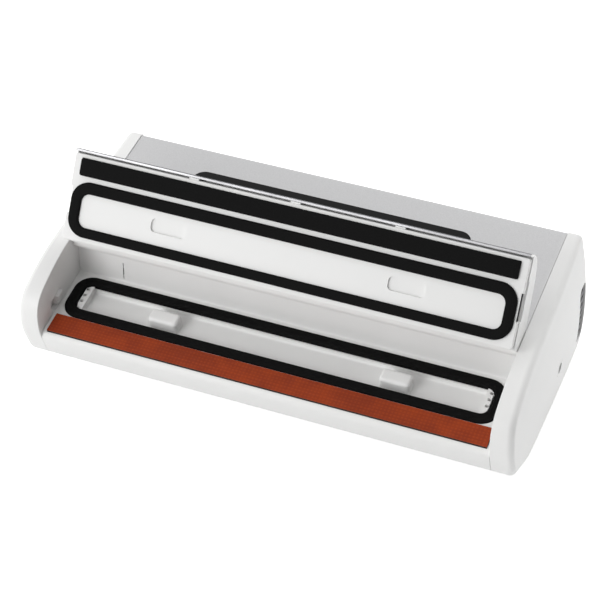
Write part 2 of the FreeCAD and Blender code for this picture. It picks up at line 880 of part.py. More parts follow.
def lid_shell():
    parting = lid_plane + lid_panel_thickness + lid_seam
    shell = lid_block(lid_half_length, panel_recess)
    shell = shell.makeFillet(lid_edge_round, outer_edges(shell, "XMin") + outer_edges(shell, "XMax"))
    heel_rear = well_wall.y - hinge_gap
    heel = box(-lid_half_length, lid_half_length, hinge.y - lid_wall, heel_rear, 0, hinge.z)
    heel = heel.common(on_deck(box(-lid_half_length, lid_half_length, 0, body_depth, parting, body_depth)))
    along = Vector(lid_half_length, 0, 0)
    barrel = rod(barrel_radius(), hinge - along, hinge + along)
    shell = shell.fuse(heel).fuse(barrel)
    hollow_half = lid_half_length - lid_wall
    hollow_recess = panel_recess + lid_cover_thickness + lid_wall
    hollow = side_prism(inset(outline, hollow_recess), -hollow_half, hollow_half)
    hollow_rear = hinge.y - barrel_radius() - lid_wall
    hollow = hollow.common(box(-half_length, half_length, front, hollow_rear, 0, body_depth))
    shell = shell.cut(hollow).cut(lid_cover_block(lid_cover_gap))
    bore = rod(pin_radius + pin_clearance, hinge + along, hinge + along - Vector(pin_in_lid + seam_gap, 0, 0))
    shell = shell.cut(bore).cut(mirrored(bore))
    window = hook_window(hook_front - hook_travel - 2 * hook_gap, hook_notch_rear,
                         well_half_length - hook_reach - 2 * hook_gap, 0, hook_top + 2 * hook_gap)
    line = box(-lid_panel_half_length, lid_panel_half_length, lid_front - lid_lip_gap, lid_front,
               0, parting + lid_wall)
    shell = shell.cut(on_deck(window)).cut(on_deck(line))
    return opened(shell.removeSplitter())


def lid_inner_panel():
    top = lid_plane + lid_panel_thickness
    half = lid_panel_half_length
    rear = well_depth + lid_panel_behind
    panel_plate = plate(-half, half, lid_front, rear, lid_plane, top, lid_panel_round)
    panel_plate = panel_plate.makeFillet(lid_panel_edge_round, flat_edges(panel_plate, "ZMin"))
    skirt_half = half - lid_skirt_inset
    front_y = lid_front + lid_skirt_inset
    heel_front = hinge.y - barrel_radius() - lid_wall - seam_gap
    rear_y = (heel_front - deck.Base.y + math.sin(tilt) * top) / math.cos(tilt)
    skirt = box(-skirt_half, skirt_half, front_y, rear_y, top, top + lid_skirt_height)
    core_half = skirt_half - lid_wall
    skirt = skirt.cut(box(-core_half, core_half, front_y + lid_wall, rear_y - lid_wall,
                          top, top + lid_skirt_height))
    panel_plate = panel_plate.fuse(skirt)
    groove_top = lid_plane + lid_groove_depth
    panel_plate = panel_plate.cut(gasket_block(0, 0, groove_top).cut(gasket_hole(0, 0, groove_top)))
    press_groove = box(-press_half_length, press_half_length, press_front, press_rear, 0, groove_top)
    panel_plate = panel_plate.cut(press_groove)
    for sign in (-1, 1):
        x = sign * stop_centre
        pocket = plate(x - pocket_half_length, x + pocket_half_length, pocket_front,
                       pocket_front + pocket_width, 0, lid_plane + pocket_depth, pocket_round)
        panel_plate = panel_plate.cut(pocket)
    for step in (-1, 0, 1):
        x = step * snap_pitch
        tab = box(x - snap_width / 2, x + snap_width / 2, lid_front - lid_lip_gap + seam_gap, lid_front,
                  lid_lip_bottom + seam_gap, top)
        panel_plate = panel_plate.fuse(tab)
    notch = hook_window(hook_front - hook_notch_front_gap, hook_notch_rear,
                        well_half_length - hook_reach - hook_gap, 0, 2 * top)
    return opened(on_deck(panel_plate.cut(notch).removeSplitter()))


def upper_gasket():
    bottom = lid_plane - lid_gasket_proud
    top = lid_plane + lid_groove_depth
    ring = gasket_block(0, bottom, top).cut(gasket_hole(0, bottom, top))
    return opened(on_deck(ring))


def press_strip():
    strip = box(-press_half_length, press_half_length, press_front, press_rear,
                lid_plane - lid_gasket_proud, lid_plane + lid_groove_depth)
    return opened(on_deck(strip))


def hinge_pins():
    pins = []
    for sign in (-1, 1):
        inner = Vector(sign * (lid_half_length - pin_in_lid), hinge.y, hinge.z)
        outer = Vector(sign * (well_half_length + pin_in_cap), hinge.y, hinge.z)
        pins.append(rod(pin_radius, inner, outer))
    return Part.makeCompound(pins)


# Lid lock

def lock_hooks():
    hooks = []
    rear = hook_front + hook_width
    plate_x = well_half_length + skin + seam_gap
    root = box(well_half_length - hook_stem_reach, plate_x, hook_front, rear, hook_bottom, hook_top)
    head = box(well_half_length - hook_reach, well_half_length, hook_front, rear, hook_head_bottom, hook_top)
    slider = box(plate_x, plate_x + lock_plate_thickness, hook_front - hook_width, rear + hook_width,
                 -lock_bar_drop, hook_top)
    hook = root.fuse(head).fuse(slider).removeSplitter()
    for side in (hook, mirrored(hook)):
        hooks.append(on_deck(side))
    return Part.makeCompound(hooks)


def lock_bar():
    half = well_half_length + skin + seam_gap
    front_y = hook_front - hook_width
    rear_y = front_y + lock_bar_width
    bar = box(-half, half, front_y, rear_y, -lock_bar_drop, -lock_bar_drop + lock_bar_height)
    start = Vector(solenoid_x, rear_y, -lock_bar_drop + lock_bar_height / 2)
    plunger = rod(plunger_radius, start, start + Vector(0, solenoid_gap + plunger_in_coil, 0))
    return on_deck(bar.fuse(plunger))


def lock_solenoid():
    left = solenoid_x - solenoid_length / 2
    right = solenoid_x + solenoid_length / 2
    front_y = hook_front - hook_width + lock_bar_width + solenoid_gap
    middle_z = -lock_bar_drop + lock_bar_height / 2
    half_z = solenoid_height / 2
    case = box(left, right, front_y, front_y + solenoid_depth, middle_z - half_z, middle_z + half_z)
    start = Vector(solenoid_x, front_y, middle_z)
    bore = rod(plunger_radius + plunger_clearance, start, start + Vector(0, plunger_in_coil + hook_gap, 0))
    leg_top = deck.multVec(Vector(solenoid_x, front_y + solenoid_depth / 2, middle_z - half_z))
    leg = box(left, right, leg_top.y, leg_top.y + skin, pan_top + skin, leg_top.z + skin)
    return on_deck(case.cut(bore)).fuse(leg).removeSplitter()


# Controls

def window_block(grow, bottom, top):
    rear = -window_rear_back
    return plate(window_centre_x - window_half_length - grow, window_centre_x + window_half_length + grow,
                 rear - window_depth - grow, rear + grow, bottom, top, window_round + grow)


def window_top():
    return -panel_recess


def window_middle():
    return -window_rear_back - window_depth / 2


def key_places():
    first = window_centre_x - key_pitch * (len(key_names) - 1) / 2
    return [first + i * key_pitch for i in range(len(key_names))]


def key_y():
    return window_middle() - key_row_forward


def lens_y():
    return window_middle() + lens_row_back


def key_block(x, grow, bottom, top):
    y = key_y()
    half_x = key_length / 2 + grow
    half_y = key_width / 2 + grow
    return plate(x - half_x, x + half_x, y - half_y, y + half_y, bottom, top, key_round + grow)


def control_window():
    top = window_top()
    under = top - panel_thickness - window_gap
    glass = window_block(-window_gap, under, top)
    flange = window_block(window_flange, under - window_flange_thickness, under)
    pane = glass.fuse(flange)
    bottom = under - window_flange_thickness
    for x in key_places():
        pane = pane.cut(key_block(x, 0, bottom, top))
        pane = pane.cut(rod(lens_radius + lens_gap, Vector(x, lens_y(), bottom), Vector(x, lens_y(), top)))
    for x, y in post_places():
        pane = pane.fuse(rod(post_radius, Vector(x, y, board_top()), Vector(x, y, bottom)))
    return on_panel(pane.removeSplitter())


def board_top():
    return window_top() - board_drop


def post_places():
    half = window_half_length - board_margin - post_radius
    reach = window_depth / 2 - board_margin
    return [(window_centre_x + a * half, window_middle() + b * reach) for a in (-1, 1) for b in (-1, 1)]


def control_board():
    half = window_half_length
    top = board_top()
    sheet = box(window_centre_x - half, window_centre_x + half, window_middle() - window_depth / 2,
                window_middle() + window_depth / 2, top - board_thickness, top)
    return on_panel(sheet)


def key_switches():
    switches = []
    for x in key_places():
        bottom = board_top()
        half = switch_size / 2
        case = box(x - half, x + half, key_y() - half, key_y() + half, bottom, bottom + switch_height)
        switches.append(on_panel(case))
    return Part.makeCompound(switches)


def indicator_lenses():
    lenses = []
    for x in key_places():
        lens = rod(lens_radius, Vector(x, lens_y(), board_top()), Vector(x, lens_y(), window_top()))
        lenses.append(on_panel(lens))
    return Part.makeCompound(lenses)


def key(x):
    under = window_top() - panel_thickness - window_gap - window_flange_thickness
    flange_top = under - key_gap
    flange_bottom = flange_top - key_flange_thickness
    cap = key_block(x, -key_gap, flange_bottom, window_top() + key_proud)
    cap = cap.makeFillet(key_top_round, flat_edges(cap, "ZMax"))
    flange = key_block(x, key_flange, flange_bottom, flange_top)
    stem_bottom = board_top() + switch_height + key_travel + key_gap
    stem = rod(key_stem_radius, Vector(x, key_y(), stem_bottom), Vector(x, key_y(), flange_bottom))
    return on_panel(cap.fuse(flange).fuse(stem).removeSplitter())


# Ports and vents

def port_middle():
    y = back - port_rear_inset
    z = underside + port_up
    return Vector(bow_at(y, z), y, z)


def accessory_port():
    mouth = port_middle()
    inner = mouth - Vector(port_length, 0, 0)
    shoulder = inner - Vector(skin, 0, 0)
    tail = shoulder - Vector(nipple_length, 0, 0)
    socket = rod(port_radius, shoulder, mouth).cut(rod(port_bore, inner, mouth))
    socket = socket.fuse(rod(nipple_radius, tail, shoulder))
    return socket.cut(rod(nipple_bore, tail, inner)).removeSplitter()


def inlet_frame():
    # +Y out of the leaning rear face, at the inlet's middle
    up = inlet_up / body_rear_height
    inlet_x = well_half_length - inlet_end_inset
    middle = Vector(inlet_x, rear_corner - rear_lean * up - panel_recess, underside + inlet_up)
    return Placement(middle, Rotation(Vector(1, 0, 0), math.degrees(rear_face_lean)))


def inlet_block(grow, proud):
    half_x = inlet_length / 2 + grow
    half_z = inlet_height / 2 + grow
    block = box(-half_x, half_x, -inlet_depth, proud, -half_z, half_z)
    return block


def mains_inlet():
    block = inlet_block(0, 0)
    radius = inlet_socket_height / 2
    offset = inlet_socket_length / 2 - radius
    deep = Vector(0, -inlet_socket_depth, 0)
    socket = box(-offset, offset, -inlet_socket_depth, 0, -radius, radius)
    for sign in (-1, 1):
        middle = Vector(sign * offset, 0, 0)
        socket = socket.fuse(rod(radius, middle + deep, middle))
    block = block.cut(socket)
    for sign in (-1, 1):
        root = Vector(sign * inlet_pin_pitch / 2, -inlet_depth, 0)
        block = block.cut(rod(inlet_pin_radius, root, root + Vector(0, inlet_depth, 0)))
    return moved(block.removeSplitter(), inlet_frame())


def inlet_pins():
    pins = []
    for sign in (-1, 1):
        root = Vector(sign * inlet_pin_pitch / 2, -inlet_depth - skin, 0)
        tip = Vector(sign * inlet_pin_pitch / 2, inlet_pin_length - inlet_socket_depth, 0)
        pins.append(moved(rod(inlet_pin_radius, root, tip), inlet_frame()))
    return Part.makeCompound(pins)


def vent_body(grow):
    # A vent insert in the right end, leaning with the rear and standing in from the crowned face
    y = back - vent_rear_inset
    z = underside + vent_up
    half_y = vent_width / 2 + grow
    half_z = vent_height / 2 + grow
    lean = half_z * math.tan(rear_face_lean)
    corners = [
        (y - half_y + lean, z - half_z, vent_round),
        (y + half_y + lean, z - half_z, vent_round),
        (y + half_y - lean, z + half_z, vent_round),
        (y - half_y - lean, z + half_z, vent_round),
    ]
    face = bow_at(y, z)
    return side_prism(corners, face - vent_recess - vent_thickness, face + skin)


def right_vent():
    middle = underside + vent_up
    face = bow_at(back - vent_rear_inset, middle)
    half_y = vent_slot_width / 2
    insert = vent_body(0).common(end_prism(outline, well_half_length, vent_recess)[0])
    first = middle - vent_slot_pitch * (vent_slot_count - 1) / 2
    for i in range(vent_slot_count):
        z = first + i * vent_slot_pitch
        y = back - vent_rear_inset - (z - middle) * math.tan(rear_face_lean)
        insert = insert.cut(box(face - 2 * vent_thickness, face + skin, y - half_y, y + half_y,
                                z - vent_slot_height / 2, z + vent_slot_height / 2))
    return insert.removeSplitter()


def side_vents():
    vent = right_vent()
    return Part.makeCompound([vent, mirrored(vent)])


# Pump

def pump_axis(x):
    return Vector(x, back - pump_rear_inset, underside + pump_up)


def pump_motor():
    right = motor_left + motor_length
    can = rod(motor_radius, pump_axis(motor_left), pump_axis(right))
    can = can.fuse(rod(motor_boss_radius, pump_axis(right), pump_axis(right + motor_boss_length)))
    bore_start = pump_axis(motor_left + head_wall)
    bore = rod(shaft_radius + shaft_clearance, bore_start, pump_axis(right + motor_boss_length))
    return can.cut(bore).removeSplitter()


def head_left():
    return motor_left + motor_length + motor_boss_length


def pump_crank():
    left = motor_left + head_wall + shaft_clearance
    crank_left = head_left() + crank_offset
    shaft = rod(shaft_radius, pump_axis(left), pump_axis(crank_left + crank_length))
    throw = Vector(0, 0, -crank_throw)
    crank = rod(crank_radius, pump_axis(crank_left) + throw, pump_axis(crank_left + crank_length) + throw)
    return shaft.fuse(crank).removeSplitter()


def pump_head():
    left = head_left()
    right = left + head_length
    middle = pump_axis(left)
    half_y = head_width / 2
    half_z = head_height / 2
    case = box(left, right, middle.y - half_y, middle.y + half_y, middle.z - half_z, middle.z + half_z)
    case = case.cut(head_cavity(middle.z - half_z + head_wall, middle.z + half_z - head_wall))
    case = case.cut(rod(shaft_radius + head_bore_gap, middle, middle + Vector(head_wall, 0, 0)))
    dome_middle = middle + Vector(head_length / 2, 0, half_z)
    case = case.fuse(rod(head_dome_radius, dome_middle, dome_middle + Vector(0, 0, head_dome_height)))
    start = head_outlet() - Vector(nipple_length, 0, 0)
    case = case.fuse(rod(nipple_radius, start, head_outlet()))
    case = case.cut(rod(nipple_bore, start - Vector(head_wall, 0, 0), head_outlet()))
    return case.removeSplitter()


def head_cavity(bottom, top):
    # The room inside the pump head between two levels
    middle_y = pump_axis(0).y
    half_y = head_width / 2 - head_wall
    return box(head_left() + head_wall, head_left() + head_length - head_wall,
               middle_y - half_y, middle_y + half_y, bottom, top)


def pump_diaphragm():
    bottom = pump_axis(0).z + crank_throw + crank_radius + diaphragm_gap
    return head_cavity(bottom, bottom + diaphragm_thickness)


def head_outlet():
    return pump_axis(head_left() + head_length + nipple_length) + Vector(0, 0, outlet_up)


def pump_bracket():
    left = motor_left + head_wall
    right = motor_left + motor_length - head_wall
    middle = pump_axis(left)
    half = saddle_width / 2
    sheet = box(left, head_left() + head_length, middle.y - half - saddle_wall, middle.y + half + saddle_wall,
                pan_top, pan_top + bracket_thickness)
    saddle = box(left, right, middle.y - half, middle.y + half, pan_top, middle.z - saddle_drop)
    saddle = saddle.cut(rod(motor_radius + saddle_gap, pump_axis(left - skin), pump_axis(right + skin)))
    foot = box(head_left(), head_left() + head_length, middle.y - half, middle.y + half,
               pan_top, middle.z - head_height / 2)
    return sheet.fuse(saddle).fuse(foot).removeSplitter()


# Vacuum hoses

def manifold_point(x, rear_inset):
    return Vector(x, back - rear_inset, underside + manifold_up)


def manifold():
    half = manifold_length / 2
    level = underside + manifold_up
    block = box(manifold_x - half, manifold_x + half, back - manifold_front_inset, back - manifold_rear_inset,
                level - manifold_height / 2, level + manifold_height / 2)
    for side, inset_depth in manifold_ports():
        start = manifold_point(manifold_x + side * half, inset_depth)
        end = start + Vector(side * nipple_length, 0, 0)
        block = block.fuse(rod(nipple_radius, start, end))
        block = block.cut(rod(nipple_bore, start - Vector(side * half, 0, 0), end))
    leg = box(manifold_x - half, manifold_x + half, back - tray_hose_inset, back - pump_hose_inset,
              pan_top, level - manifold_height / 2)
    return block.fuse(leg).removeSplitter()


def manifold_ports():
    return ((-1, tray_hose_inset), (1, tray_hose_inset), (-1, pump_hose_inset), (1, port_hose_inset))


def nipple_end(side, rear_inset):
    return manifold_point(manifold_x + side * (manifold_length / 2 + nipple_length), rear_inset)


def tray_hose(side):
    middle = (gasket_front + gasket_band + gasket_rear - gasket_rear_band) / 2
    hole_x = gasket_half_length - gasket_end_band - trough_margin - ledge_length / 2
    low = -trough_depth - trough_wall - nipple_length
    top = deck.multVec(Vector(side * hole_x, middle, low + hose_cover))
    down = deck.multVec(Vector(side * hole_x, middle, low)) - top
    end = nipple_end(side, tray_hose_inset) - Vector(side * hose_cover, 0, 0)
    bend = top + down * ((top.z - end.z) / -down.z)
    turn = Vector(bend.x, end.y, end.z)
    return hose([top, bend, turn, end], hose_bend)


def tray_hoses():
    return Part.makeCompound([tray_hose(-1), tray_hose(1)])


def pump_hose():
    start = nipple_end(-1, pump_hose_inset) + Vector(hose_cover, 0, 0)
    end = head_outlet() - Vector(hose_cover, 0, 0)
    middle_x = (nipple_end(-1, pump_hose_inset).x + head_outlet().x) / 2
    first_turn = Vector(middle_x, start.y, start.z)
    second_turn = Vector(middle_x, end.y, end.z)
    return hose([start, first_turn, second_turn, end], pump_hose_bend)


def port_hose():
    start = nipple_end(1, port_hose_inset) - Vector(hose_cover, 0, 0)
    mouth = port_middle()
    end = mouth - Vector(port_length + skin + nipple_length - hose_cover, 0, 0)
    first_turn = start + Vector(port_hose_run, 0, 0)
    second_turn = end - Vector(port_hose_run, 0, 0)
    return hose([start, first_turn, second_turn, end], hose_bend)


def release_valve():
    start = manifold_point(manifold_x, manifold_front_inset)
    end = start - Vector(0, valve_length, 0)
    spout = rod(nipple_radius, end, end - Vector(0, hose_cover, 0))
    return rod(valve_radius, start, end).fuse(spout).removeSplitter()


def vacuum_sensor():
    level = underside + manifold_up + manifold_height / 2
    middle = back - (manifold_front_inset + manifold_rear_inset) / 2
    half_x = sensor_length / 2
    half_y = sensor_depth / 2
    return box(manifold_x - half_x, manifold_x + half_x, middle - half_y, middle + half_y,
               level, level + sensor_height)


# Electronics

def standoff_places():
    left = power_board_left + standoff_inset
    right = power_board_left + power_board_length - standoff_inset
    near = power_board_front + standoff_inset
    far = power_board_front + power_board_depth - standoff_inset
    return [(x, y) for x in (left, right) for y in (near, far)]


def power_board():
    bottom = underside + power_board_up
    return box(power_board_left, power_board_left + power_board_length, power_board_front,
               power_board_front + power_board_depth, bottom, board_face())


def board_face():
    return underside + power_board_up + power_board_thickness


def transformer():
    left = power_board_left + skin
    right = left + transformer_length
    near = power_board_front + (power_board_depth - transformer_depth) / 2
    far = near + transformer_depth
    core = box(left, right, near, far, board_face() + skin, board_face() + skin + transformer_height)
    coil = box(left + transformer_coil_inset, right - transformer_coil_inset, near - transformer_coil_proud,
               far + transformer_coil_proud, board_face(), board_face() + transformer_height)
    return core.fuse(coil).removeSplitter()


def capacitors():
    places = []
    left = power_board_left + skin + transformer_length + capacitor_gap + capacitor_radius
    middle = power_board_front + power_board_depth / 2
    for i in range(2):
        start = Vector(left + i * capacitor_pitch, middle, board_face())
        places.append(rod(capacitor_radius, start, start + Vector(0, 0, capacitor_height)))
    return Part.makeCompound(places)


def lid_switch():
    half = lid_switch_length / 2
    wall = well_wall.y + skin + seam_gap
    top = well_wall.z + lid_switch_slot_top
    bottom = top - lid_switch_height
    case = box(lid_switch_x - half, lid_switch_x + half, wall, wall + lid_switch_depth, bottom, top)
    half_lever = lid_switch_lever_thickness / 2
    lever = box(lid_switch_x - half_lever, lid_switch_x + half_lever, well_wall.y, wall,
                bottom, bottom + lid_switch_height / 2)
    return case.fuse(lever).removeSplitter()


pieces = {
    "base_pan": base_pan,
    "front_housing": front_housing,
    "left_end_cap": left_end_cap,
    "right_end_cap": right_end_cap,
    "rear_cover": rear_cover,
    "rear_top_panel": rear_top_panel,
    "control_window": control_window,
    "indicator_lenses": indicator_lenses,
    "control_board": control_board,
    "key_switches": key_switches,
    "rubber_feet": rubber_feet,
    "base_screws": base_screws,
    "seal_bar": seal_bar,
    "heating_wire": heating_wire,
    "ptfe_tape": ptfe_tape,
    "lower_gasket": lower_gasket,
    "chamber_tray": chamber_tray,
    "bag_stops": bag_stops,
    "accessory_port": accessory_port,
    "mains_inlet": mains_inlet,
    "inlet_pins": inlet_pins,
    "side_vents": side_vents,
    "hinge_pins": hinge_pins,
    "lid_shell": lid_shell,
    "lid_cover": lid_cover,
    "lid_inner_panel": lid_inner_panel,
    "upper_gasket": upper_gasket,
    "press_strip": press_strip,
    "lock_hooks": lock_hooks,
    "lock_bar": lock_bar,
    "lock_solenoid": lock_solenoid,
    "pump_motor": pump_motor,
    "pump_crank": pump_crank,
    "pump_head": pump_head,
    "pump_diaphragm": pump_diaphragm,
    "pump_bracket": pump_bracket,
    "manifold": manifold,
    "tray_hoses": tray_hoses,
    "pump_hose": pump_hose,
    "port_hose": port_hose,
    "release_valve": release_valve,
    "vacuum_sensor": vacuum_sensor,
    "power_board": power_board,
    "transformer": transformer,
    "capacitors": capacitors,
    "lid_switch": lid_switch,
}

os.makedirs("parts", exist_ok=True)
for name, make in pieces.items():
    make().exportStep(f"parts/{name}.step")
for name, key_x in zip(key_names, key_places()):
    key(key_x).exportStep(f"parts/{name}.step")
print("lid hinge axis at", hinge)
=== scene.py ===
import json
import math
import bmesh
import bpy
from mathutils import Matrix, Vector


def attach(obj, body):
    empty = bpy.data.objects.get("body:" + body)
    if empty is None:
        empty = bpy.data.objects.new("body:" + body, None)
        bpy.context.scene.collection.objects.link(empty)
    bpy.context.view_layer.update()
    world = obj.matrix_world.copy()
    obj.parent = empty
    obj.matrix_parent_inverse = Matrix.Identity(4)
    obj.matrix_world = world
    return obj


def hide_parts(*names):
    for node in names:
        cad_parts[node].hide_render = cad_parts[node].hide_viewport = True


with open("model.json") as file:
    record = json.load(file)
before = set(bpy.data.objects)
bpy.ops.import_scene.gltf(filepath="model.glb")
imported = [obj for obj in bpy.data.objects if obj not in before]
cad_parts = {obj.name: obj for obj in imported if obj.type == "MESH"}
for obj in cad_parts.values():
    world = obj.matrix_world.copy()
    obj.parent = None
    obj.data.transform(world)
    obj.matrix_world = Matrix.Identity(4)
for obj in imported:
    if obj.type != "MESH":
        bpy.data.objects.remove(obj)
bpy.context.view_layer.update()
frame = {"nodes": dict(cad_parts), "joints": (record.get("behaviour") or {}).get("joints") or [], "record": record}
nodes = frame["nodes"]
scene = bpy.context.scene
mm = 0.001
print("frame loaded:", len(nodes), "pieces")

# The machine's own planes: the tilted deck, the open lid and the rear panel
machine = {
    "deckOrigin": (0, -88.0 * mm, 48.57 * mm),
    "deckTilt": math.radians(11.39),
    "lidOpen": math.radians(-130),
    "panelOrigin": (0, 82.12 * mm, 110.0 * mm),
    "panelSlope": math.radians(7.655),
}
deckFrame = Matrix.Translation(machine["deckOrigin"]) @ Matrix.Rotation(machine["deckTilt"], 4, "X")
panelFrame = Matrix.Translation(machine["panelOrigin"]) @ Matrix.Rotation(machine["panelSlope"], 4, "X")
lidHinge = next(joint for joint in frame["joints"] if joint["name"] == "lid_hinge")
hingeMove = Matrix.Translation(lidHinge["pos_m"])
lidTurn = Matrix.Rotation(machine["lidOpen"], 4, "X")
lidFrame = hingeMove @ lidTurn @ hingeMove.inverted() @ deckFrame

# Materials


def linear(hexColour):
    # sRGB hex to the linear colour that the shaders take
    channels = [int(hexColour[i:i + 2], 16) / 255 for i in (1, 3, 5)]
    return [c / 12.92 if c <= 0.04045 else ((c + 0.055) / 1.055) ** 2.4 for c in channels] + [1.0]


def addNode(tree, kind, inputs=None, **settings):
    # Adds a node, with its settings, and gives its sockets a value or a link
    node = tree.nodes.new(kind)
    for name, value in settings.items():
        setattr(node, name, value)
    for socket, value in (inputs or {}).items():
        if isinstance(value, bpy.types.NodeSocket):
            tree.links.new(value, node.inputs[socket])
        else:
            node.inputs[socket].default_value = value
    return node


def newMaterial(name, hexColour, roughness, **values):
    material = bpy.data.materials.new(name)
    material.use_nodes = True
    tree = material.node_tree
    shader = tree.nodes["Principled BSDF"]
    shader.inputs["Base Color"].default_value = linear(hexColour)
    shader.inputs["Roughness"].default_value = roughness
    for socket, value in values.items():
        shader.inputs[socket.replace("_", " ")].default_value = value
    material.diffuse_color = linear(hexColour)
    return material, tree, shader


def grain(tree, sizeMm, detail=2.0, stretch=(1, 1, 1)):
    # Noise in object space whose blotches are about sizeMm across
    place = addNode(tree, "ShaderNodeTexCoord").outputs["Object"]
    scale = [1000 / sizeMm / along for along in stretch]
    mapped = addNode(tree, "ShaderNodeMapping", {"Vector": place, "Scale": scale})
    inputs = {"Vector": mapped.outputs["Vector"], "Scale": 1.0, "Detail": detail}
    noise = addNode(tree, "ShaderNodeTexNoise", inputs)
    return noise.outputs["Fac"]


def shade(tree, shader, fac, darkHex, lightHex, low=0.35, high=0.65):
    # Runs the base colour from dark to light as the pattern goes from low to high
    ramp = addNode(tree, "ShaderNodeValToRGB", {"Fac": fac})
    ramp.color_ramp.elements[0].position = low
    ramp.color_ramp.elements[0].color = linear(darkHex)
    ramp.color_ramp.elements[1].position = high
    ramp.color_ramp.elements[1].color = linear(lightHex)
    tree.links.new(ramp.outputs["Color"], shader.inputs["Base Color"])


def gloss(tree, shader, fac, low, high):
    # Spreads the roughness between low and high over the pattern's usual span
    limits = {"Value": fac, "From Min": 0.3, "From Max": 0.7, "To Min": low, "To Max": high}
    spread = addNode(tree, "ShaderNodeMapRange", limits)
    tree.links.new(spread.outputs["Result"], shader.inputs["Roughness"])


def emboss(tree, shader, height, depthMm, strength):
    inputs = {"Height": height, "Strength": strength, "Distance": depthMm * mm}
    bump = addNode(tree, "ShaderNodeBump", inputs)
    tree.links.new(bump.outputs["Normal"], shader.inputs["Normal"])


def glossMouldedAbs():
    # ABS from a polished mould: an even white with a soft shine and a faint orange peel
    material, tree, shader = newMaterial("glossMouldedAbs", "#ECECEB", 0.42, IOR=1.53,
                                         Specular_IOR_Level=0.3)
    flow = grain(tree, 45)
    shade(tree, shader, flow, "#EBEBEA", "#EDEDEC")
    gloss(tree, shader, flow, 0.4, 0.45)
    emboss(tree, shader, grain(tree, 1.6), 0.02, 0.3)
    return material


def silverLacqueredAbs():
    # ABS sprayed with silver lacquer: fine metal flakes, drawn at 0.7 mm so that they show
    material, tree, shader = newMaterial("silverLacqueredAbs", "#C9C9CA", 0.36, Metallic=0.5)
    flake = grain(tree, 0.7, 4.0)
    shade(tree, shader, flake, "#C3C3C4", "#CFCFD0", 0.3, 0.7)
    gloss(tree, shader, grain(tree, 30), 0.32, 0.42)
    emboss(tree, shader, flake, 0.006, 0.4)
    return material


def silverLacquerWithPaintedShade():
    # A coat with more flake, on the lid's cover: a silver painted darker than the panel's, as painted shade on the
    # lid's lip, whose flakes turn dull at a low angle
    material, tree, shader = newMaterial("silverLacquerWithPaintedShade", "#9E9EA0", 0.44, Metallic=0.9,
                                         Specular_Tint=linear("#5A5A5C"))
    flake = grain(tree, 0.7, 4.0)
    shade(tree, shader, flake, "#98989A", "#A5A5A7", 0.3, 0.7)
    gloss(tree, shader, grain(tree, 30), 0.4, 0.5)
    emboss(tree, shader, flake, 0.006, 0.4)
    return material


def blackGlossAcrylic():
    # Cast acrylic printed black behind: a deep even black under a clear smooth face
    material, tree, shader = newMaterial("blackGlossAcrylic", "#0B0B0C", 0.07,
                                         Specular_IOR_Level=0.16)
    gloss(tree, shader, grain(tree, 25), 0.05, 0.11)
    emboss(tree, shader, grain(tree, 9), 0.01, 0.15)
    return material


def milkyPolycarbonate():
    # Light pipe of diffused polycarbonate: pale, smooth and faintly cloudy
    material, tree, shader = newMaterial("milkyPolycarbonate", "#DDE3E6", 0.2, IOR=1.58)
    shade(tree, shader, grain(tree, 1.2), "#D6DDE1", "#E4E9EB")
    return material


def greenSolderMask():
    # Solder mask over copper on glass epoxy: tracks show as lighter, raised runs about 2 mm wide
    material, tree, shader = newMaterial("greenSolderMask", "#17492B", 0.32, IOR=1.5)
    tracks = grain(tree, 4, 0.0, stretch=(3, 1, 1))
    shade(tree, shader, tracks, "#123C22", "#256B3E", 0.46, 0.54)
    emboss(tree, shader, tracks, 0.05, 0.4)
    return material


def satinAbs(name, hexColour, darkHex, lightHex):
    # ABS from a spark-eroded mould: matt, with a fine grit, drawn at 0.8 mm so that it shows
    material, tree, shader = newMaterial(name, hexColour, 0.55, IOR=1.53)
    grit = grain(tree, 0.8, 3.0)
    shade(tree, shader, grit, darkHex, lightHex, 0.3, 0.7)
    gloss(tree, shader, grit, 0.48, 0.62)
    emboss(tree, shader, grit, 0.03, 0.5)
    return material


def compoundRubber():
    # Filled rubber for feet: dull dark grey with a dusty bloom and a slight tooth
    material, tree, shader = newMaterial("compoundRubber", "#38383A", 0.8, IOR=1.52)
    bloom = grain(tree, 5, 4.0)
    shade(tree, shader, bloom, "#303032", "#434345", 0.3, 0.7)
    emboss(tree, shader, grain(tree, 0.7), 0.04, 0.5)
    return material


def zincPlatedSteel():
    # Bright zinc over pressed steel: grey metal with cloudy spangle patches a few mm across
    material, tree, shader = newMaterial("zincPlatedSteel", "#B9BCBF", 0.34, Metallic=1.0)
    spangle = grain(tree, 3.5, 1.0)
    shade(tree, shader, spangle, "#AAADB1", "#C6C9CB", 0.3, 0.7)
    gloss(tree, shader, spangle, 0.26, 0.42)
    emboss(tree, shader, grain(tree, 0.6, stretch=(12, 1, 1)), 0.01, 0.4)
    return material


def mouldedPhenolic():
    # Heat-resistant bar: dark brown phenolic with short filler flecks and a dull skin
    material, tree, shader = newMaterial("mouldedPhenolic", "#2A1D17", 0.6, IOR=1.6)
    fleck = grain(tree, 1.0, 3.0, stretch=(3, 1, 1))
    shade(tree, shader, fleck, "#231812", "#33241C", 0.3, 0.7)
    emboss(tree, shader, fleck, 0.02, 0.4)
    return material


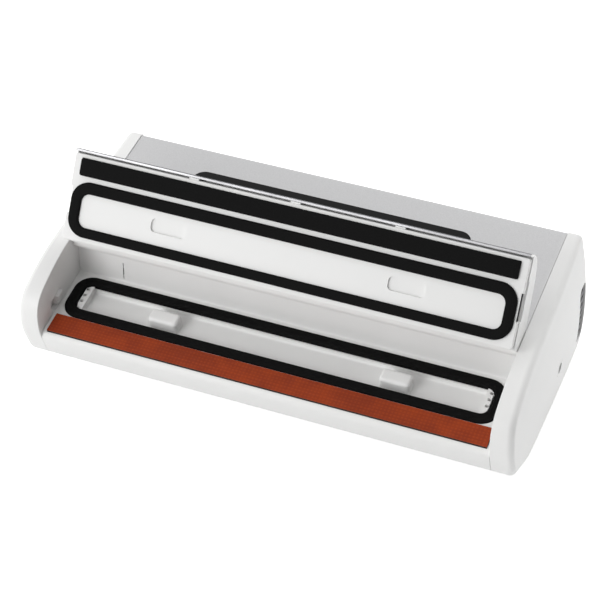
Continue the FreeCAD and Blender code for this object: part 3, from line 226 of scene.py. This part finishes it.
def ptfeGlassCloth():
    # Glass cloth dipped in red-brown PTFE: a waxy skin over a plain weave. Its threads lie about
    # 0.5 mm apart, drawn at 1.3 mm so that they show
    weave = {"threadMm": 1.3, "crimpMm": 0.05, "tint": 0.35, "waxMm": 14}
    material, tree, shader = newMaterial("ptfeGlassCloth", "#963915", 0.5, IOR=1.38,
                                         Specular_IOR_Level=0.3)
    place = addNode(tree, "ShaderNodeTexCoord").outputs["Object"]
    turn = (-machine["deckTilt"], 0, 0)
    flat = addNode(tree, "ShaderNodeMapping", {"Vector": place, "Rotation": turn}).outputs["Vector"]
    pairsPerMetre = 1000 / weave["threadMm"] / 2
    waveStep = 0.1 * math.pi  # the wave node's own band length at scale 1
    bands = {"Vector": flat, "Scale": pairsPerMetre * waveStep}
    warp, weft = [addNode(tree, "ShaderNodeTexWave", bands, bands_direction=direction).outputs["Fac"]
                  for direction in ("X", "Y")]
    cross = addNode(tree, "ShaderNodeMath", {0: warp, 1: weft}, operation="MULTIPLY").outputs["Value"]
    wax = grain(tree, weave["waxMm"], 3.0)
    mixed = addNode(tree, "ShaderNodeMath", {0: cross, 1: weave["tint"], 2: wax},
                    operation="MULTIPLY_ADD")
    shade(tree, shader, mixed.outputs["Value"], "#8A3213", "#A43F16", 0.4, 0.85)
    gloss(tree, shader, wax, 0.44, 0.58)
    emboss(tree, shader, cross, weave["crimpMm"], 0.5)
    return material


def mouldedSilicone():
    # Black silicone rubber: a matt skin with a fine tooth, drawn at 0.9 mm so that it shows
    material, tree, shader = newMaterial("mouldedSilicone", "#0F0F0F", 0.7,
                                         Specular_IOR_Level=0.06)
    tooth = grain(tree, 0.9, 3.0)
    shade(tree, shader, tooth, "#0B0B0B", "#141414", 0.3, 0.7)
    gloss(tree, shader, tooth, 0.64, 0.78)
    emboss(tree, shader, tooth, 0.03, 0.5)
    return material


def turnedBrass():
    # Turned contact brass: warm metal with fine rings along its length
    material, tree, shader = newMaterial("turnedBrass", "#C9A76A", 0.28, Metallic=1.0)
    turning = grain(tree, 0.5, 1.0, stretch=(1, 1, 4))
    shade(tree, shader, turning, "#BF9C5E", "#D4B478", 0.3, 0.7)
    emboss(tree, shader, turning, 0.01, 0.4)
    return material


def filledNylon():
    # Glass-filled nylon: mid grey with a fibrous, satin skin
    material, tree, shader = newMaterial("filledNylon", "#7A7A7D", 0.5, IOR=1.53)
    fibre = grain(tree, 0.9, 3.0, stretch=(4, 1, 1))
    shade(tree, shader, fibre, "#717174", "#838386", 0.3, 0.7)
    emboss(tree, shader, fibre, 0.02, 0.4)
    return material


def clearSilicone():
    # Extruded silicone tube: cloudy, soft and waxy
    material, tree, shader = newMaterial("clearSilicone", "#D9D9D5", 0.4, IOR=1.41)
    shade(tree, shader, grain(tree, 6), "#D0D0CB", "#E0E0DC")
    return material


def paleKeyInk():
    # Screen-printed mark on a key: flat pale grey ink with a slightly uneven edge of colour
    material, tree, shader = newMaterial("paleKeyInk", "#C9CCCE", 0.5)
    shade(tree, shader, grain(tree, 1.0), "#C2C5C7", "#D0D3D5")
    return material


finishes = {
    "white_plastic": glossMouldedAbs(),
    "silver_panel": silverLacqueredAbs(),
    "black_gloss": blackGlossAcrylic(),
    "clear_lens": milkyPolycarbonate(),
    "circuit_board": greenSolderMask(),
    "black_plastic": satinAbs("satinBlackAbs", "#1B1B1D", "#161618", "#202022"),
    "foot_rubber": compoundRubber(),
    "steel": zincPlatedSteel(),
    "heat_resistant_plastic": mouldedPhenolic(),
    "ptfe_tape": ptfeGlassCloth(),
    "gasket_rubber": mouldedSilicone(),
    "contact_brass": turnedBrass(),
    "grey_plastic": filledNylon(),
    "hose_silicone": clearSilicone(),
}
# Nodes with a finish unlike the rest of their slot
ownFinish = {
    # The lid cover's silver is painted darker than the panel's, as painted shade on the lid's lip
    "lid_cover": silverLacquerWithPaintedShade(),
    "side_vents": satinAbs("satinGreyAbs", "#6C6C6E", "#676769", "#727274"),
}
keyInk = paleKeyInk()

for subpart in frame["record"]["subparts"]:
    finish = ownFinish.get(subpart["node"], finishes[subpart["material_slot"]])
    mesh = nodes[subpart["node"]].data
    mesh.materials.clear()
    mesh.materials.append(finish)
print("finishes set:", len(finishes))

# Mesh helpers

sharpFrom = math.radians(38)  # edges turned further than this stay crisp
mergeWithin = 0.001 * mm


def bandLoop(halfLength, low, high, corner, steps):
    # Points round a rounded oblong, as many for any size
    centres = ((1, 1, 0), (-1, 1, 90), (-1, -1, 180), (1, -1, 270))
    points = []
    for sideX, sideY, start in centres:
        centreX = sideX * (halfLength - corner)
        centreY = high - corner if sideY > 0 else low + corner
        for step in range(steps + 1):
            angle = math.radians(start + 90 * step / steps)
            points.append((centreX + corner * math.cos(angle), centreY + corner * math.sin(angle)))
    return points


def loftMesh(name, loops, wrap, place):
    # Skins a stack of loops, in mm. A stack that doesn't wrap is capped at both ends
    form = bmesh.new()
    rows = [[form.verts.new(Vector(point) * mm) for point in loop] for loop in loops]
    for lower, upper in zip(rows, rows[1:] + rows[:1] if wrap else rows[1:]):
        for i in range(len(lower)):
            j = (i + 1) % len(lower)
            form.faces.new((lower[i], lower[j], upper[j], upper[i]))
    if not wrap:
        form.faces.new(list(reversed(rows[0])))
        form.faces.new(rows[-1])
    bmesh.ops.recalc_face_normals(form, faces=form.faces)
    mesh = bpy.data.meshes.new(name)
    form.to_mesh(mesh)
    form.free()
    mesh.transform(place)
    return mesh


def finishPiece(name, mesh, material, body, slotName, *replaced):
    # Smooths a mesh and makes it a piece that rides on a body
    for polygon in mesh.polygons:
        polygon.use_smooth = True
    mesh.set_sharp_from_angle(angle=sharpFrom)
    if not mesh.materials:
        mesh.materials.append(material)
    piece = bpy.data.objects.new(name, mesh)
    scene.collection.objects.link(piece)
    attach(piece, body)
    if replaced:
        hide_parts(*replaced)
    return piece


def turnedMesh(name, profile, turns):
    # Revolves a closed (radius, height) profile, in mm, about Z. A radius of 0 closes the pole
    form = bmesh.new()
    verts = [form.verts.new((radius * mm, 0, height * mm)) for radius, height in profile]
    edges = [form.edges.new(pair) for pair in zip(verts, verts[1:])]
    if profile[0][0] > 0:
        edges.append(form.edges.new((verts[-1], verts[0])))
    bmesh.ops.spin(form, geom=verts + edges, axis=(0, 0, 1), cent=(0, 0, 0), steps=turns,
                   angle=2 * math.pi)
    bmesh.ops.remove_doubles(form, verts=form.verts, dist=mergeWithin)
    bmesh.ops.recalc_face_normals(form, faces=form.faces)
    mesh = bpy.data.meshes.new(name)
    form.to_mesh(mesh)
    form.free()
    return mesh


def roundedEdge(size, steps):
    # A quarter round as (inset, drop) pairs, from the side of a piece up to its face
    turns = [math.radians(90 * step / steps) for step in range(steps + 1)]
    return [(size * (1 - math.cos(turn)), size * (1 - math.sin(turn))) for turn in turns]


def newTree(name, sockets):
    # Starts a geometry node tree with these inputs and one mesh as its output
    tree = bpy.data.node_groups.new(name, "GeometryNodeTree")
    tree.interface.new_socket("Geometry", in_out="OUTPUT", socket_type="NodeSocketGeometry")
    for label, kind in sockets:
        tree.interface.new_socket(label, in_out="INPUT", socket_type="NodeSocket" + kind)
    return tree, addNode(tree, "NodeGroupInput").outputs, addNode(tree, "NodeGroupOutput")


def grownMesh(name, tree, values, place):
    # Runs a node tree with these values and returns its result as a plain mesh
    grower = bpy.data.objects.new(name + "Grower", bpy.data.meshes.new(name + "Seed"))
    scene.collection.objects.link(grower)
    modifier = grower.modifiers.new("grow", "NODES")
    modifier.node_group = tree
    for item in tree.interface.items_tree:
        if item.in_out == "INPUT":
            modifier[item.identifier] = values[item.name]
    graph = bpy.context.evaluated_depsgraph_get()
    mesh = bpy.data.meshes.new_from_object(grower.evaluated_get(graph), depsgraph=graph)
    mesh.name = name
    mesh.transform(place)
    bpy.data.objects.remove(grower)
    return mesh


# Gaskets: one ring in the tray, one in the lid

gasket = {
    "halfLength": 159.5,
    "front": 17.3,
    "rear": 56.0,
    "frontBand": 8.2,
    "rearBand": 6.9,
    "endBand": 7.7,
    "outerRound": 13.0,
    "innerRound": 6.0,
    "cornerSteps": 9,
    "edgeRound": 1.3,
    "edgeSteps": 5,
    "crown": 0.15,
    "crownShare": 0.36,  # of the rear band, from each side to the flat of the crown
    "lowerSeat": -4.7,
    "lowerFace": 0.0,
    "upperSeat": 4.1,
    "upperFace": 0.4,
}


def gasketMesh(name, seat, face, place):
    # A ring whose section has rounded edges and a slightly crowned face
    up = 1 if face > seat else -1
    shoulder = face - up * gasket["crown"]
    flat = gasket["rearBand"] * gasket["crownShare"]

    def outerLoop(inset, height):
        plan = bandLoop(gasket["halfLength"] - inset, gasket["front"] + inset, gasket["rear"] - inset,
                        gasket["outerRound"] - inset, gasket["cornerSteps"])
        return [(x, y, height) for x, y in plan]

    def innerLoop(inset, height):
        halfLength = gasket["halfLength"] - gasket["endBand"]
        low = gasket["front"] + gasket["frontBand"]
        high = gasket["rear"] - gasket["rearBand"]
        plan = bandLoop(halfLength + inset, low - inset, high + inset, gasket["innerRound"] + inset,
                        gasket["cornerSteps"])
        return [(x, y, height) for x, y in plan]

    rounded = roundedEdge(gasket["edgeRound"], gasket["edgeSteps"])
    corner = [(inset, shoulder - up * drop) for inset, drop in rounded]
    loops = [outerLoop(0, seat)]
    loops += [outerLoop(inset, height) for inset, height in corner]
    loops += [outerLoop(flat, face), innerLoop(flat, face)]
    loops += [innerLoop(inset, height) for inset, height in reversed(corner)]
    loops += [innerLoop(0, seat)]
    return loftMesh(name, loops, True, place)


rubber = finishes["gasket_rubber"]
lowerRing = gasketMesh("lowerGasketRing", gasket["lowerSeat"], gasket["lowerFace"], deckFrame)
finishPiece("lowerGasketRing", lowerRing, rubber, "base", "gasket_rubber", "lower_gasket")
upperRing = gasketMesh("upperGasketRing", gasket["upperSeat"], gasket["upperFace"], lidFrame)
finishPiece("upperGasketRing", upperRing, rubber, "lid", "gasket_rubber", "upper_gasket")

# Press strip in the lid, over the seal

pressBar = {"halfLength": 156.4, "front": 1.5, "rear": 13.8, "corner": 1.6, "leastCorner": 0.3,
            "cornerSteps": 5, "edgeRound": 0.9, "edgeSteps": 4, "seat": 4.1, "face": 0.4,
            "crown": 0.1, "crownInset": 4.5}
shoulder = pressBar["face"] + pressBar["crown"]
rounded = roundedEdge(pressBar["edgeRound"], pressBar["edgeSteps"])
levels = [(0, pressBar["seat"])]
levels += [(inset, shoulder + drop) for inset, drop in rounded]
levels += [(pressBar["crownInset"], pressBar["face"])]
pressLoops = []
for inset, height in levels:
    corner = max(pressBar["corner"] - inset, pressBar["leastCorner"])
    plan = bandLoop(pressBar["halfLength"] - inset, pressBar["front"] + inset,
                    pressBar["rear"] - inset, corner, pressBar["cornerSteps"])
    pressLoops.append([(x, y, height) for x, y in plan])
pressMesh = loftMesh("pressRubber", pressLoops, False, lidFrame)
finishPiece("pressRubber", pressMesh, rubber, "lid", "gasket_rubber", "press_strip")
print("gaskets and press strip made")

# Seal tape: a strip of coated glass cloth stretched over the heating wire

sealTape = {"Length": 320.0 * mm, "Width": 16.1 * mm, "Wire Width": 4.0 * mm,
            "Wire Lift": 0.09 * mm, "Edge Drop": 0.12 * mm, "Ripple": 0.04 * mm, "Seed": 3.0,
            "Material": finishes["ptfe_tape"]}
tapeForm = {"thickness": 0.3 * mm, "edgeBand": 0.9 * mm, "wireFoot": 0.9, "rippleMm": 13,
            "pointsAlong": 241, "pointsAcross": 41}


def tapeTree():
    # The strip lies highest over the wire, lower beside it and lowest at its two long edges
    sockets = [(name, "Material" if name == "Material" else "Float") for name in sealTape]
    tree, given, result = newTree("sealTapeStrip", sockets)
    grid = addNode(tree, "GeometryNodeMeshGrid",
                   {"Size X": given["Length"], "Size Y": given["Width"],
                    "Vertices X": tapeForm["pointsAlong"], "Vertices Y": tapeForm["pointsAcross"]})
    spot = addNode(tree, "GeometryNodeInputPosition").outputs["Position"]
    across = addNode(tree, "ShaderNodeSeparateXYZ", {"Vector": spot}).outputs["Y"]
    away = addNode(tree, "ShaderNodeMath", {0: across}, operation="ABSOLUTE").outputs["Value"]
    shares = (("Wire Width", 0.5), ("Wire Width", tapeForm["wireFoot"]), ("Width", 0.5))
    wireHalf, wireFoot, half = [
        addNode(tree, "ShaderNodeMath", {0: given[width], 1: share}, operation="MULTIPLY").outputs["Value"]
        for width, share in shares]
    brink = addNode(tree, "ShaderNodeMath", {0: half, 1: tapeForm["edgeBand"]},
                    operation="SUBTRACT").outputs["Value"]
    depths = []
    for start, end, depth in ((wireHalf, wireFoot, "Wire Lift"), (brink, half, "Edge Drop")):
        slope = addNode(tree, "ShaderNodeMapRange",
                        {"Value": away, "From Min": start, "From Max": end, "To Min": 0.0,
                         "To Max": given[depth]}, interpolation_type="SMOOTHSTEP")
        depths.append(slope.outputs["Result"])
    wander = addNode(tree, "ShaderNodeTexNoise",
                     {"Vector": spot, "W": given["Seed"], "Scale": 1000 / tapeForm["rippleMm"],
                      "Detail": 1.0}, noise_dimensions="4D")
    ripple = addNode(tree, "ShaderNodeMath", {0: wander.outputs["Fac"], 1: given["Ripple"]},
                     operation="MULTIPLY")
    depths.append(ripple.outputs["Value"])
    low = depths[0]
    for more in depths[1:]:
        low = addNode(tree, "ShaderNodeMath", {0: low, 1: more}, operation="ADD").outputs["Value"]
    down = addNode(tree, "ShaderNodeMath", {0: low, 1: -1.0}, operation="MULTIPLY").outputs["Value"]
    offset = addNode(tree, "ShaderNodeCombineXYZ", {"Z": down}).outputs["Vector"]
    formed = addNode(tree, "GeometryNodeSetPosition",
                     {"Geometry": grid.outputs["Mesh"], "Offset": offset})
    real = addNode(tree, "GeometryNodeRealizeInstances", {"Geometry": formed.outputs["Geometry"]})
    dressed = addNode(tree, "GeometryNodeSetMaterial",
                      {"Geometry": real.outputs["Geometry"], "Material": given["Material"]})
    tree.links.new(dressed.outputs["Geometry"], result.inputs["Geometry"])
    return tree


def thickened(mesh, thickness):
    # Gives a sheet its thickness below its face, with closed edges
    form = bmesh.new()
    form.from_mesh(mesh)
    bmesh.ops.recalc_face_normals(form, faces=form.faces)
    if sum(face.normal.z for face in form.faces) < 0:
        bmesh.ops.reverse_faces(form, faces=form.faces)
    bmesh.ops.solidify(form, geom=form.faces[:], thickness=thickness)
    bmesh.ops.recalc_face_normals(form, faces=form.faces)
    form.to_mesh(mesh)
    form.free()
    return mesh


tapeMiddle = deckFrame @ Matrix.Translation((0, sealTape["Width"] / 2, 0))
tapeMesh = grownMesh("sealTapeStrip", tapeTree(), sealTape, Matrix())
tapeMesh = thickened(tapeMesh, tapeForm["thickness"])
tapeMesh.transform(tapeMiddle)
tape = finishPiece("sealTapeStrip", tapeMesh, finishes["ptfe_tape"], "base", "ptfe_tape",
                   "ptfe_tape")
print("seal tape made")

# What stands in rows: the feet and the rims of the suction holes


def rowTree():
    # Sets one master piece out on a grid
    sockets = [("Count X", "Int"), ("Count Y", "Int"), ("Spread X", "Float"), ("Spread Y", "Float"),
               ("Master", "Object"), ("Material", "Material")]
    tree, given, result = newTree("setOutInRows", sockets)
    grid = addNode(tree, "GeometryNodeMeshGrid",
                   {"Vertices X": given["Count X"], "Vertices Y": given["Count Y"],
                    "Size X": given["Spread X"], "Size Y": given["Spread Y"]})
    master = addNode(tree, "GeometryNodeObjectInfo", {"Object": given["Master"]})
    placed = addNode(tree, "GeometryNodeInstanceOnPoints",
                     {"Points": grid.outputs["Mesh"], "Instance": master.outputs["Geometry"]})
    real = addNode(tree, "GeometryNodeRealizeInstances", {"Geometry": placed.outputs["Instances"]})
    dressed = addNode(tree, "GeometryNodeSetMaterial",
                      {"Geometry": real.outputs["Geometry"], "Material": given["Material"]})
    tree.links.new(dressed.outputs["Geometry"], result.inputs["Geometry"])
    return tree


def setOut(name, tree, profile, row, material, place):
    # Turns one piece from its profile and makes one mesh of the whole row
    turned = turnedMesh(name + "Turned", profile, row["turns"])
    master = bpy.data.objects.new(name + "Master", turned)
    scene.collection.objects.link(master)
    values = {"Count X": row["countX"], "Count Y": row["countY"], "Spread X": row["spreadX"] * mm,
              "Spread Y": row["spreadY"] * mm, "Master": master, "Material": material}
    middle = Matrix.Translation([part * mm for part in row["middle"]])
    mesh = grownMesh(name, tree, values, place @ middle)
    bpy.data.objects.remove(master)
    return mesh


rows = rowTree()
feet = {"countX": 2, "countY": 2, "spreadX": 280.0, "spreadY": 98.0, "middle": (0, 29.0, 0),
        "turns": 48}
footProfile = [(0, 0.7), (2.8, 0.7), (3.2, 0.5), (3.5, 0.12), (3.9, 0), (5.0, 0), (5.25, 0.15),
               (5.35, 0.45), (5.65, 0.45), (5.75, 0.15), (6.0, 0), (7.2, 0), (7.7, 0.22), (7.95, 0.7),
               (7.95, 2.6), (7.7, 2.98), (2.9, 2.98), (2.9, 5.9), (0, 5.9)]
footMesh = setOut("ribbedFeet", rows, footProfile, feet, finishes["foot_rubber"], Matrix())
finishPiece("ribbedFeet", footMesh, finishes["foot_rubber"], "base", "foot_rubber", "rubber_feet")

rims = {"countX": 2, "countY": 3, "spreadX": 298.8, "spreadY": 11.2, "middle": (0, 39.3, -2.0),
        "turns": 20}
rimProfile = [(1.32, -0.3), (1.32, 0.0), (1.37, 0.04), (1.43, 0.05), (1.49, 0.02), (1.52, -0.04),
              (1.52, -0.3)]
rimMesh = setOut("suctionHoleRims", rows, rimProfile, rims, finishes["white_plastic"], deckFrame)
finishPiece("suctionHoleRims", rimMesh, finishes["white_plastic"], "base", "white_plastic")
print("feet and hole rims made")

# Marks printed on the keys: plain strokes, one mark for each key

keyMark = {"firstX": -79.0, "pitch": 38.0, "y": -54.4, "top": 0.03, "bottom": -0.03,
           "stroke": 0.75, "dropRound": 2.1, "dropCentre": -0.9, "dropTip": 3.4}
bowlTurns = [math.radians(degrees) for degrees in range(-125, 126, 25)]
bowl = [(keyMark["dropRound"] * math.sin(turn),
         keyMark["dropCentre"] - keyMark["dropRound"] * math.cos(turn)) for turn in bowlTurns]
keyStrokes = {
    "vacuum_key": [[(-5, 2.6), (-2.2, 0), (-5, -2.6)], [(5, 2.6), (2.2, 0), (5, -2.6)],
                   [(0, 2.6), (0, -2.6)]],
    "seal_key": [[(-5, 1.0), (5, 1.0)], [(-5, -1.0), (5, -1.0)]],
    "pulse_key": [[(-5, -1.8), (-3, -1.8), (-3, 1.8), (0, 1.8), (0, -1.8), (3, -1.8), (3, 1.8),
                   (5, 1.8)]],
    "mode_key": [bowl + [(0, keyMark["dropTip"]), bowl[0]]],
    "cancel_key": [[(-2.3, -2.3), (2.3, 2.3)], [(-2.3, 2.3), (2.3, -2.3)]],
}


def strokeMesh(name, strokes, centreX):
    # Draws each stroke as a row of thin bars, sunk halfway into the key
    form = bmesh.new()
    half = keyMark["stroke"] / 2
    for stroke in strokes:
        points = [Vector(point) for point in stroke]
        for start, end in zip(points, points[1:]):
            along = (end - start).normalized()
            side = Vector((-along.y, along.x)) * half
            ends = (start - along * half, end + along * half)
            plan = [ends[0] - side, ends[1] - side, ends[1] + side, ends[0] + side]
            spots = [((point.x + centreX) * mm, (point.y + keyMark["y"]) * mm) for point in plan]
            low = [form.verts.new((x, y, keyMark["bottom"] * mm)) for x, y in spots]
            high = [form.verts.new((x, y, keyMark["top"] * mm)) for x, y in spots]
            form.faces.new(list(reversed(low)))
            form.faces.new(high)
            for i in range(len(plan)):
                j = (i + 1) % len(plan)
                form.faces.new((low[i], low[j], high[j], high[i]))
    bmesh.ops.recalc_face_normals(form, faces=form.faces)
    mesh = bpy.data.meshes.new(name)
    form.to_mesh(mesh)
    form.free()
    mesh.transform(panelFrame)
    return mesh


for index, (key, strokes) in enumerate(keyStrokes.items()):
    markName = key.replace("_key", "KeyMark")
    markMesh = strokeMesh(markName, strokes, keyMark["firstX"] + index * keyMark["pitch"])
    finishPiece(markName, markMesh, keyInk, key, "clear_lens")
print("key marks made:", len(keyStrokes))

# Camera, floor and light

view = {"place": (0.37264, -0.97849, 0.87367), "yaw": 0.3684, "pitch": -0.6615, "roll": 0.0131,
        "lens": 113.13, "sensor": 36.0, "clipStart": 0.05}
cameraData = bpy.data.cameras.new("photoCamera")
cameraData.lens = view["lens"]
cameraData.sensor_width = view["sensor"]
cameraData.clip_start = view["clipStart"]
camera = bpy.data.objects.new("photoCamera", cameraData)
camera.matrix_world = (Matrix.Translation(view["place"]) @ Matrix.Rotation(view["yaw"], 4, "Z")
                       @ Matrix.Rotation(math.pi / 2 + view["pitch"], 4, "X")
                       @ Matrix.Rotation(view["roll"], 4, "Z"))
scene.collection.objects.link(camera)
scene.camera = camera

studio = {"floorHex": "#F2F2F2", "floorHalf": 4.0, "floorDrop": 0.1 * mm, "floorLift": 0.6,
          "ambientHex": "#FFFFFF", "ambientLow": 0.0, "ambientHigh": 1.08,
          "ambientFrom": (-0.55, 0.0, 0.83), "ambientStart": 0.05, "aimHeight": 0.08,
          "keyPlace": (-0.68, -1.42, 0.64), "keyPower": 10.9, "keySize": (0.8, 0.8),
          "sidePlace": (1.25, 0.4, 0.08), "sidePower": 2.9, "sideSize": (0.8, 0.12),
          "rearPlace": (0.4, 0.9, 1.05), "rearPower": 8.2, "rearSize": (1.2, 0.6)}


def seenRays(tree):
    # 1 for rays that show the background: from the camera, from gloss and through glass
    path = addNode(tree, "ShaderNodeLightPath").outputs
    seen = path["Is Camera Ray"]
    for ray in ("Is Glossy Ray", "Is Transmission Ray"):
        either = addNode(tree, "ShaderNodeMath", {0: seen, 1: path[ray]}, operation="MAXIMUM")
        seen = either.outputs["Value"]
    return seen


def paperFloor():
    # Seamless white paper: a dull even sheet that keeps a soft shadow
    material, tree, shader = newMaterial("seamlessPaper", studio["floorHex"], 0.9,
                                         Specular_IOR_Level=0.0, Emission_Color=(1, 1, 1, 1))
    lift = addNode(tree, "ShaderNodeMath", {0: seenRays(tree), 1: studio["floorLift"]},
                   operation="MULTIPLY")
    tree.links.new(lift.outputs["Value"], shader.inputs["Emission Strength"])
    return material


edge = studio["floorHalf"]
floorMesh = bpy.data.meshes.new("paperFloor")
corners = [(-edge, -edge, 0), (edge, -edge, 0), (edge, edge, 0), (-edge, edge, 0)]
floorMesh.from_pydata(corners, [], [(0, 1, 2, 3)])
floorMesh.transform(Matrix.Translation((0, 0, -studio["floorDrop"])))
floorMesh.materials.append(paperFloor())
floor = bpy.data.objects.new("paperFloor", floorMesh)
scene.collection.objects.link(floor)

# A sky that is brightest up and to the left, and white where it is seen
world = bpy.data.worlds.new("softStudio")
scene.world = world
world.use_nodes = True
worldTree = world.node_tree
background = worldTree.nodes["Background"]
background.inputs["Color"].default_value = linear(studio["ambientHex"])
skyward = addNode(worldTree, "ShaderNodeTexCoord").outputs["Generated"]
lean = addNode(worldTree, "ShaderNodeVectorMath", {0: skyward, 1: studio["ambientFrom"]},
               operation="DOT_PRODUCT")
soft = addNode(worldTree, "ShaderNodeMapRange",
               {"Value": lean.outputs["Value"], "From Min": studio["ambientStart"],
                "To Min": studio["ambientLow"], "To Max": studio["ambientHigh"]},
               interpolation_type="SMOOTHSTEP")
limits = {"Value": seenRays(worldTree), "To Min": soft.outputs["Result"], "To Max": 1.0}
worldLevel = addNode(worldTree, "ShaderNodeMapRange", limits)
worldTree.links.new(worldLevel.outputs["Result"], background.inputs["Strength"])


def softBox(name, place, size, power):
    # An oblong lamp that looks at the machine, no higher than it stands itself
    lampData = bpy.data.lights.new(name, "AREA")
    lampData.shape = "RECTANGLE"
    lampData.size, lampData.size_y = size
    lampData.energy = power
    lamp = bpy.data.objects.new(name, lampData)
    aim = Vector((0, 0, min(place[2], studio["aimHeight"]))) - Vector(place)
    lamp.matrix_world = Matrix.Translation(place) @ aim.to_track_quat("-Z", "Y").to_matrix().to_4x4()
    scene.collection.objects.link(lamp)
    return lamp


softBox("keySoftBox", studio["keyPlace"], studio["keySize"], studio["keyPower"])
softBox("sideSoftBox", studio["sidePlace"], studio["sideSize"], studio["sidePower"])
rearLamp = softBox("rearSoftBox", studio["rearPlace"], studio["rearSize"], studio["rearPower"])
rearLamp.visible_glossy = False  # it lifts the top from behind without a streak on the silver
scene.view_settings.view_transform = "Standard"
print("camera, floor and light set")
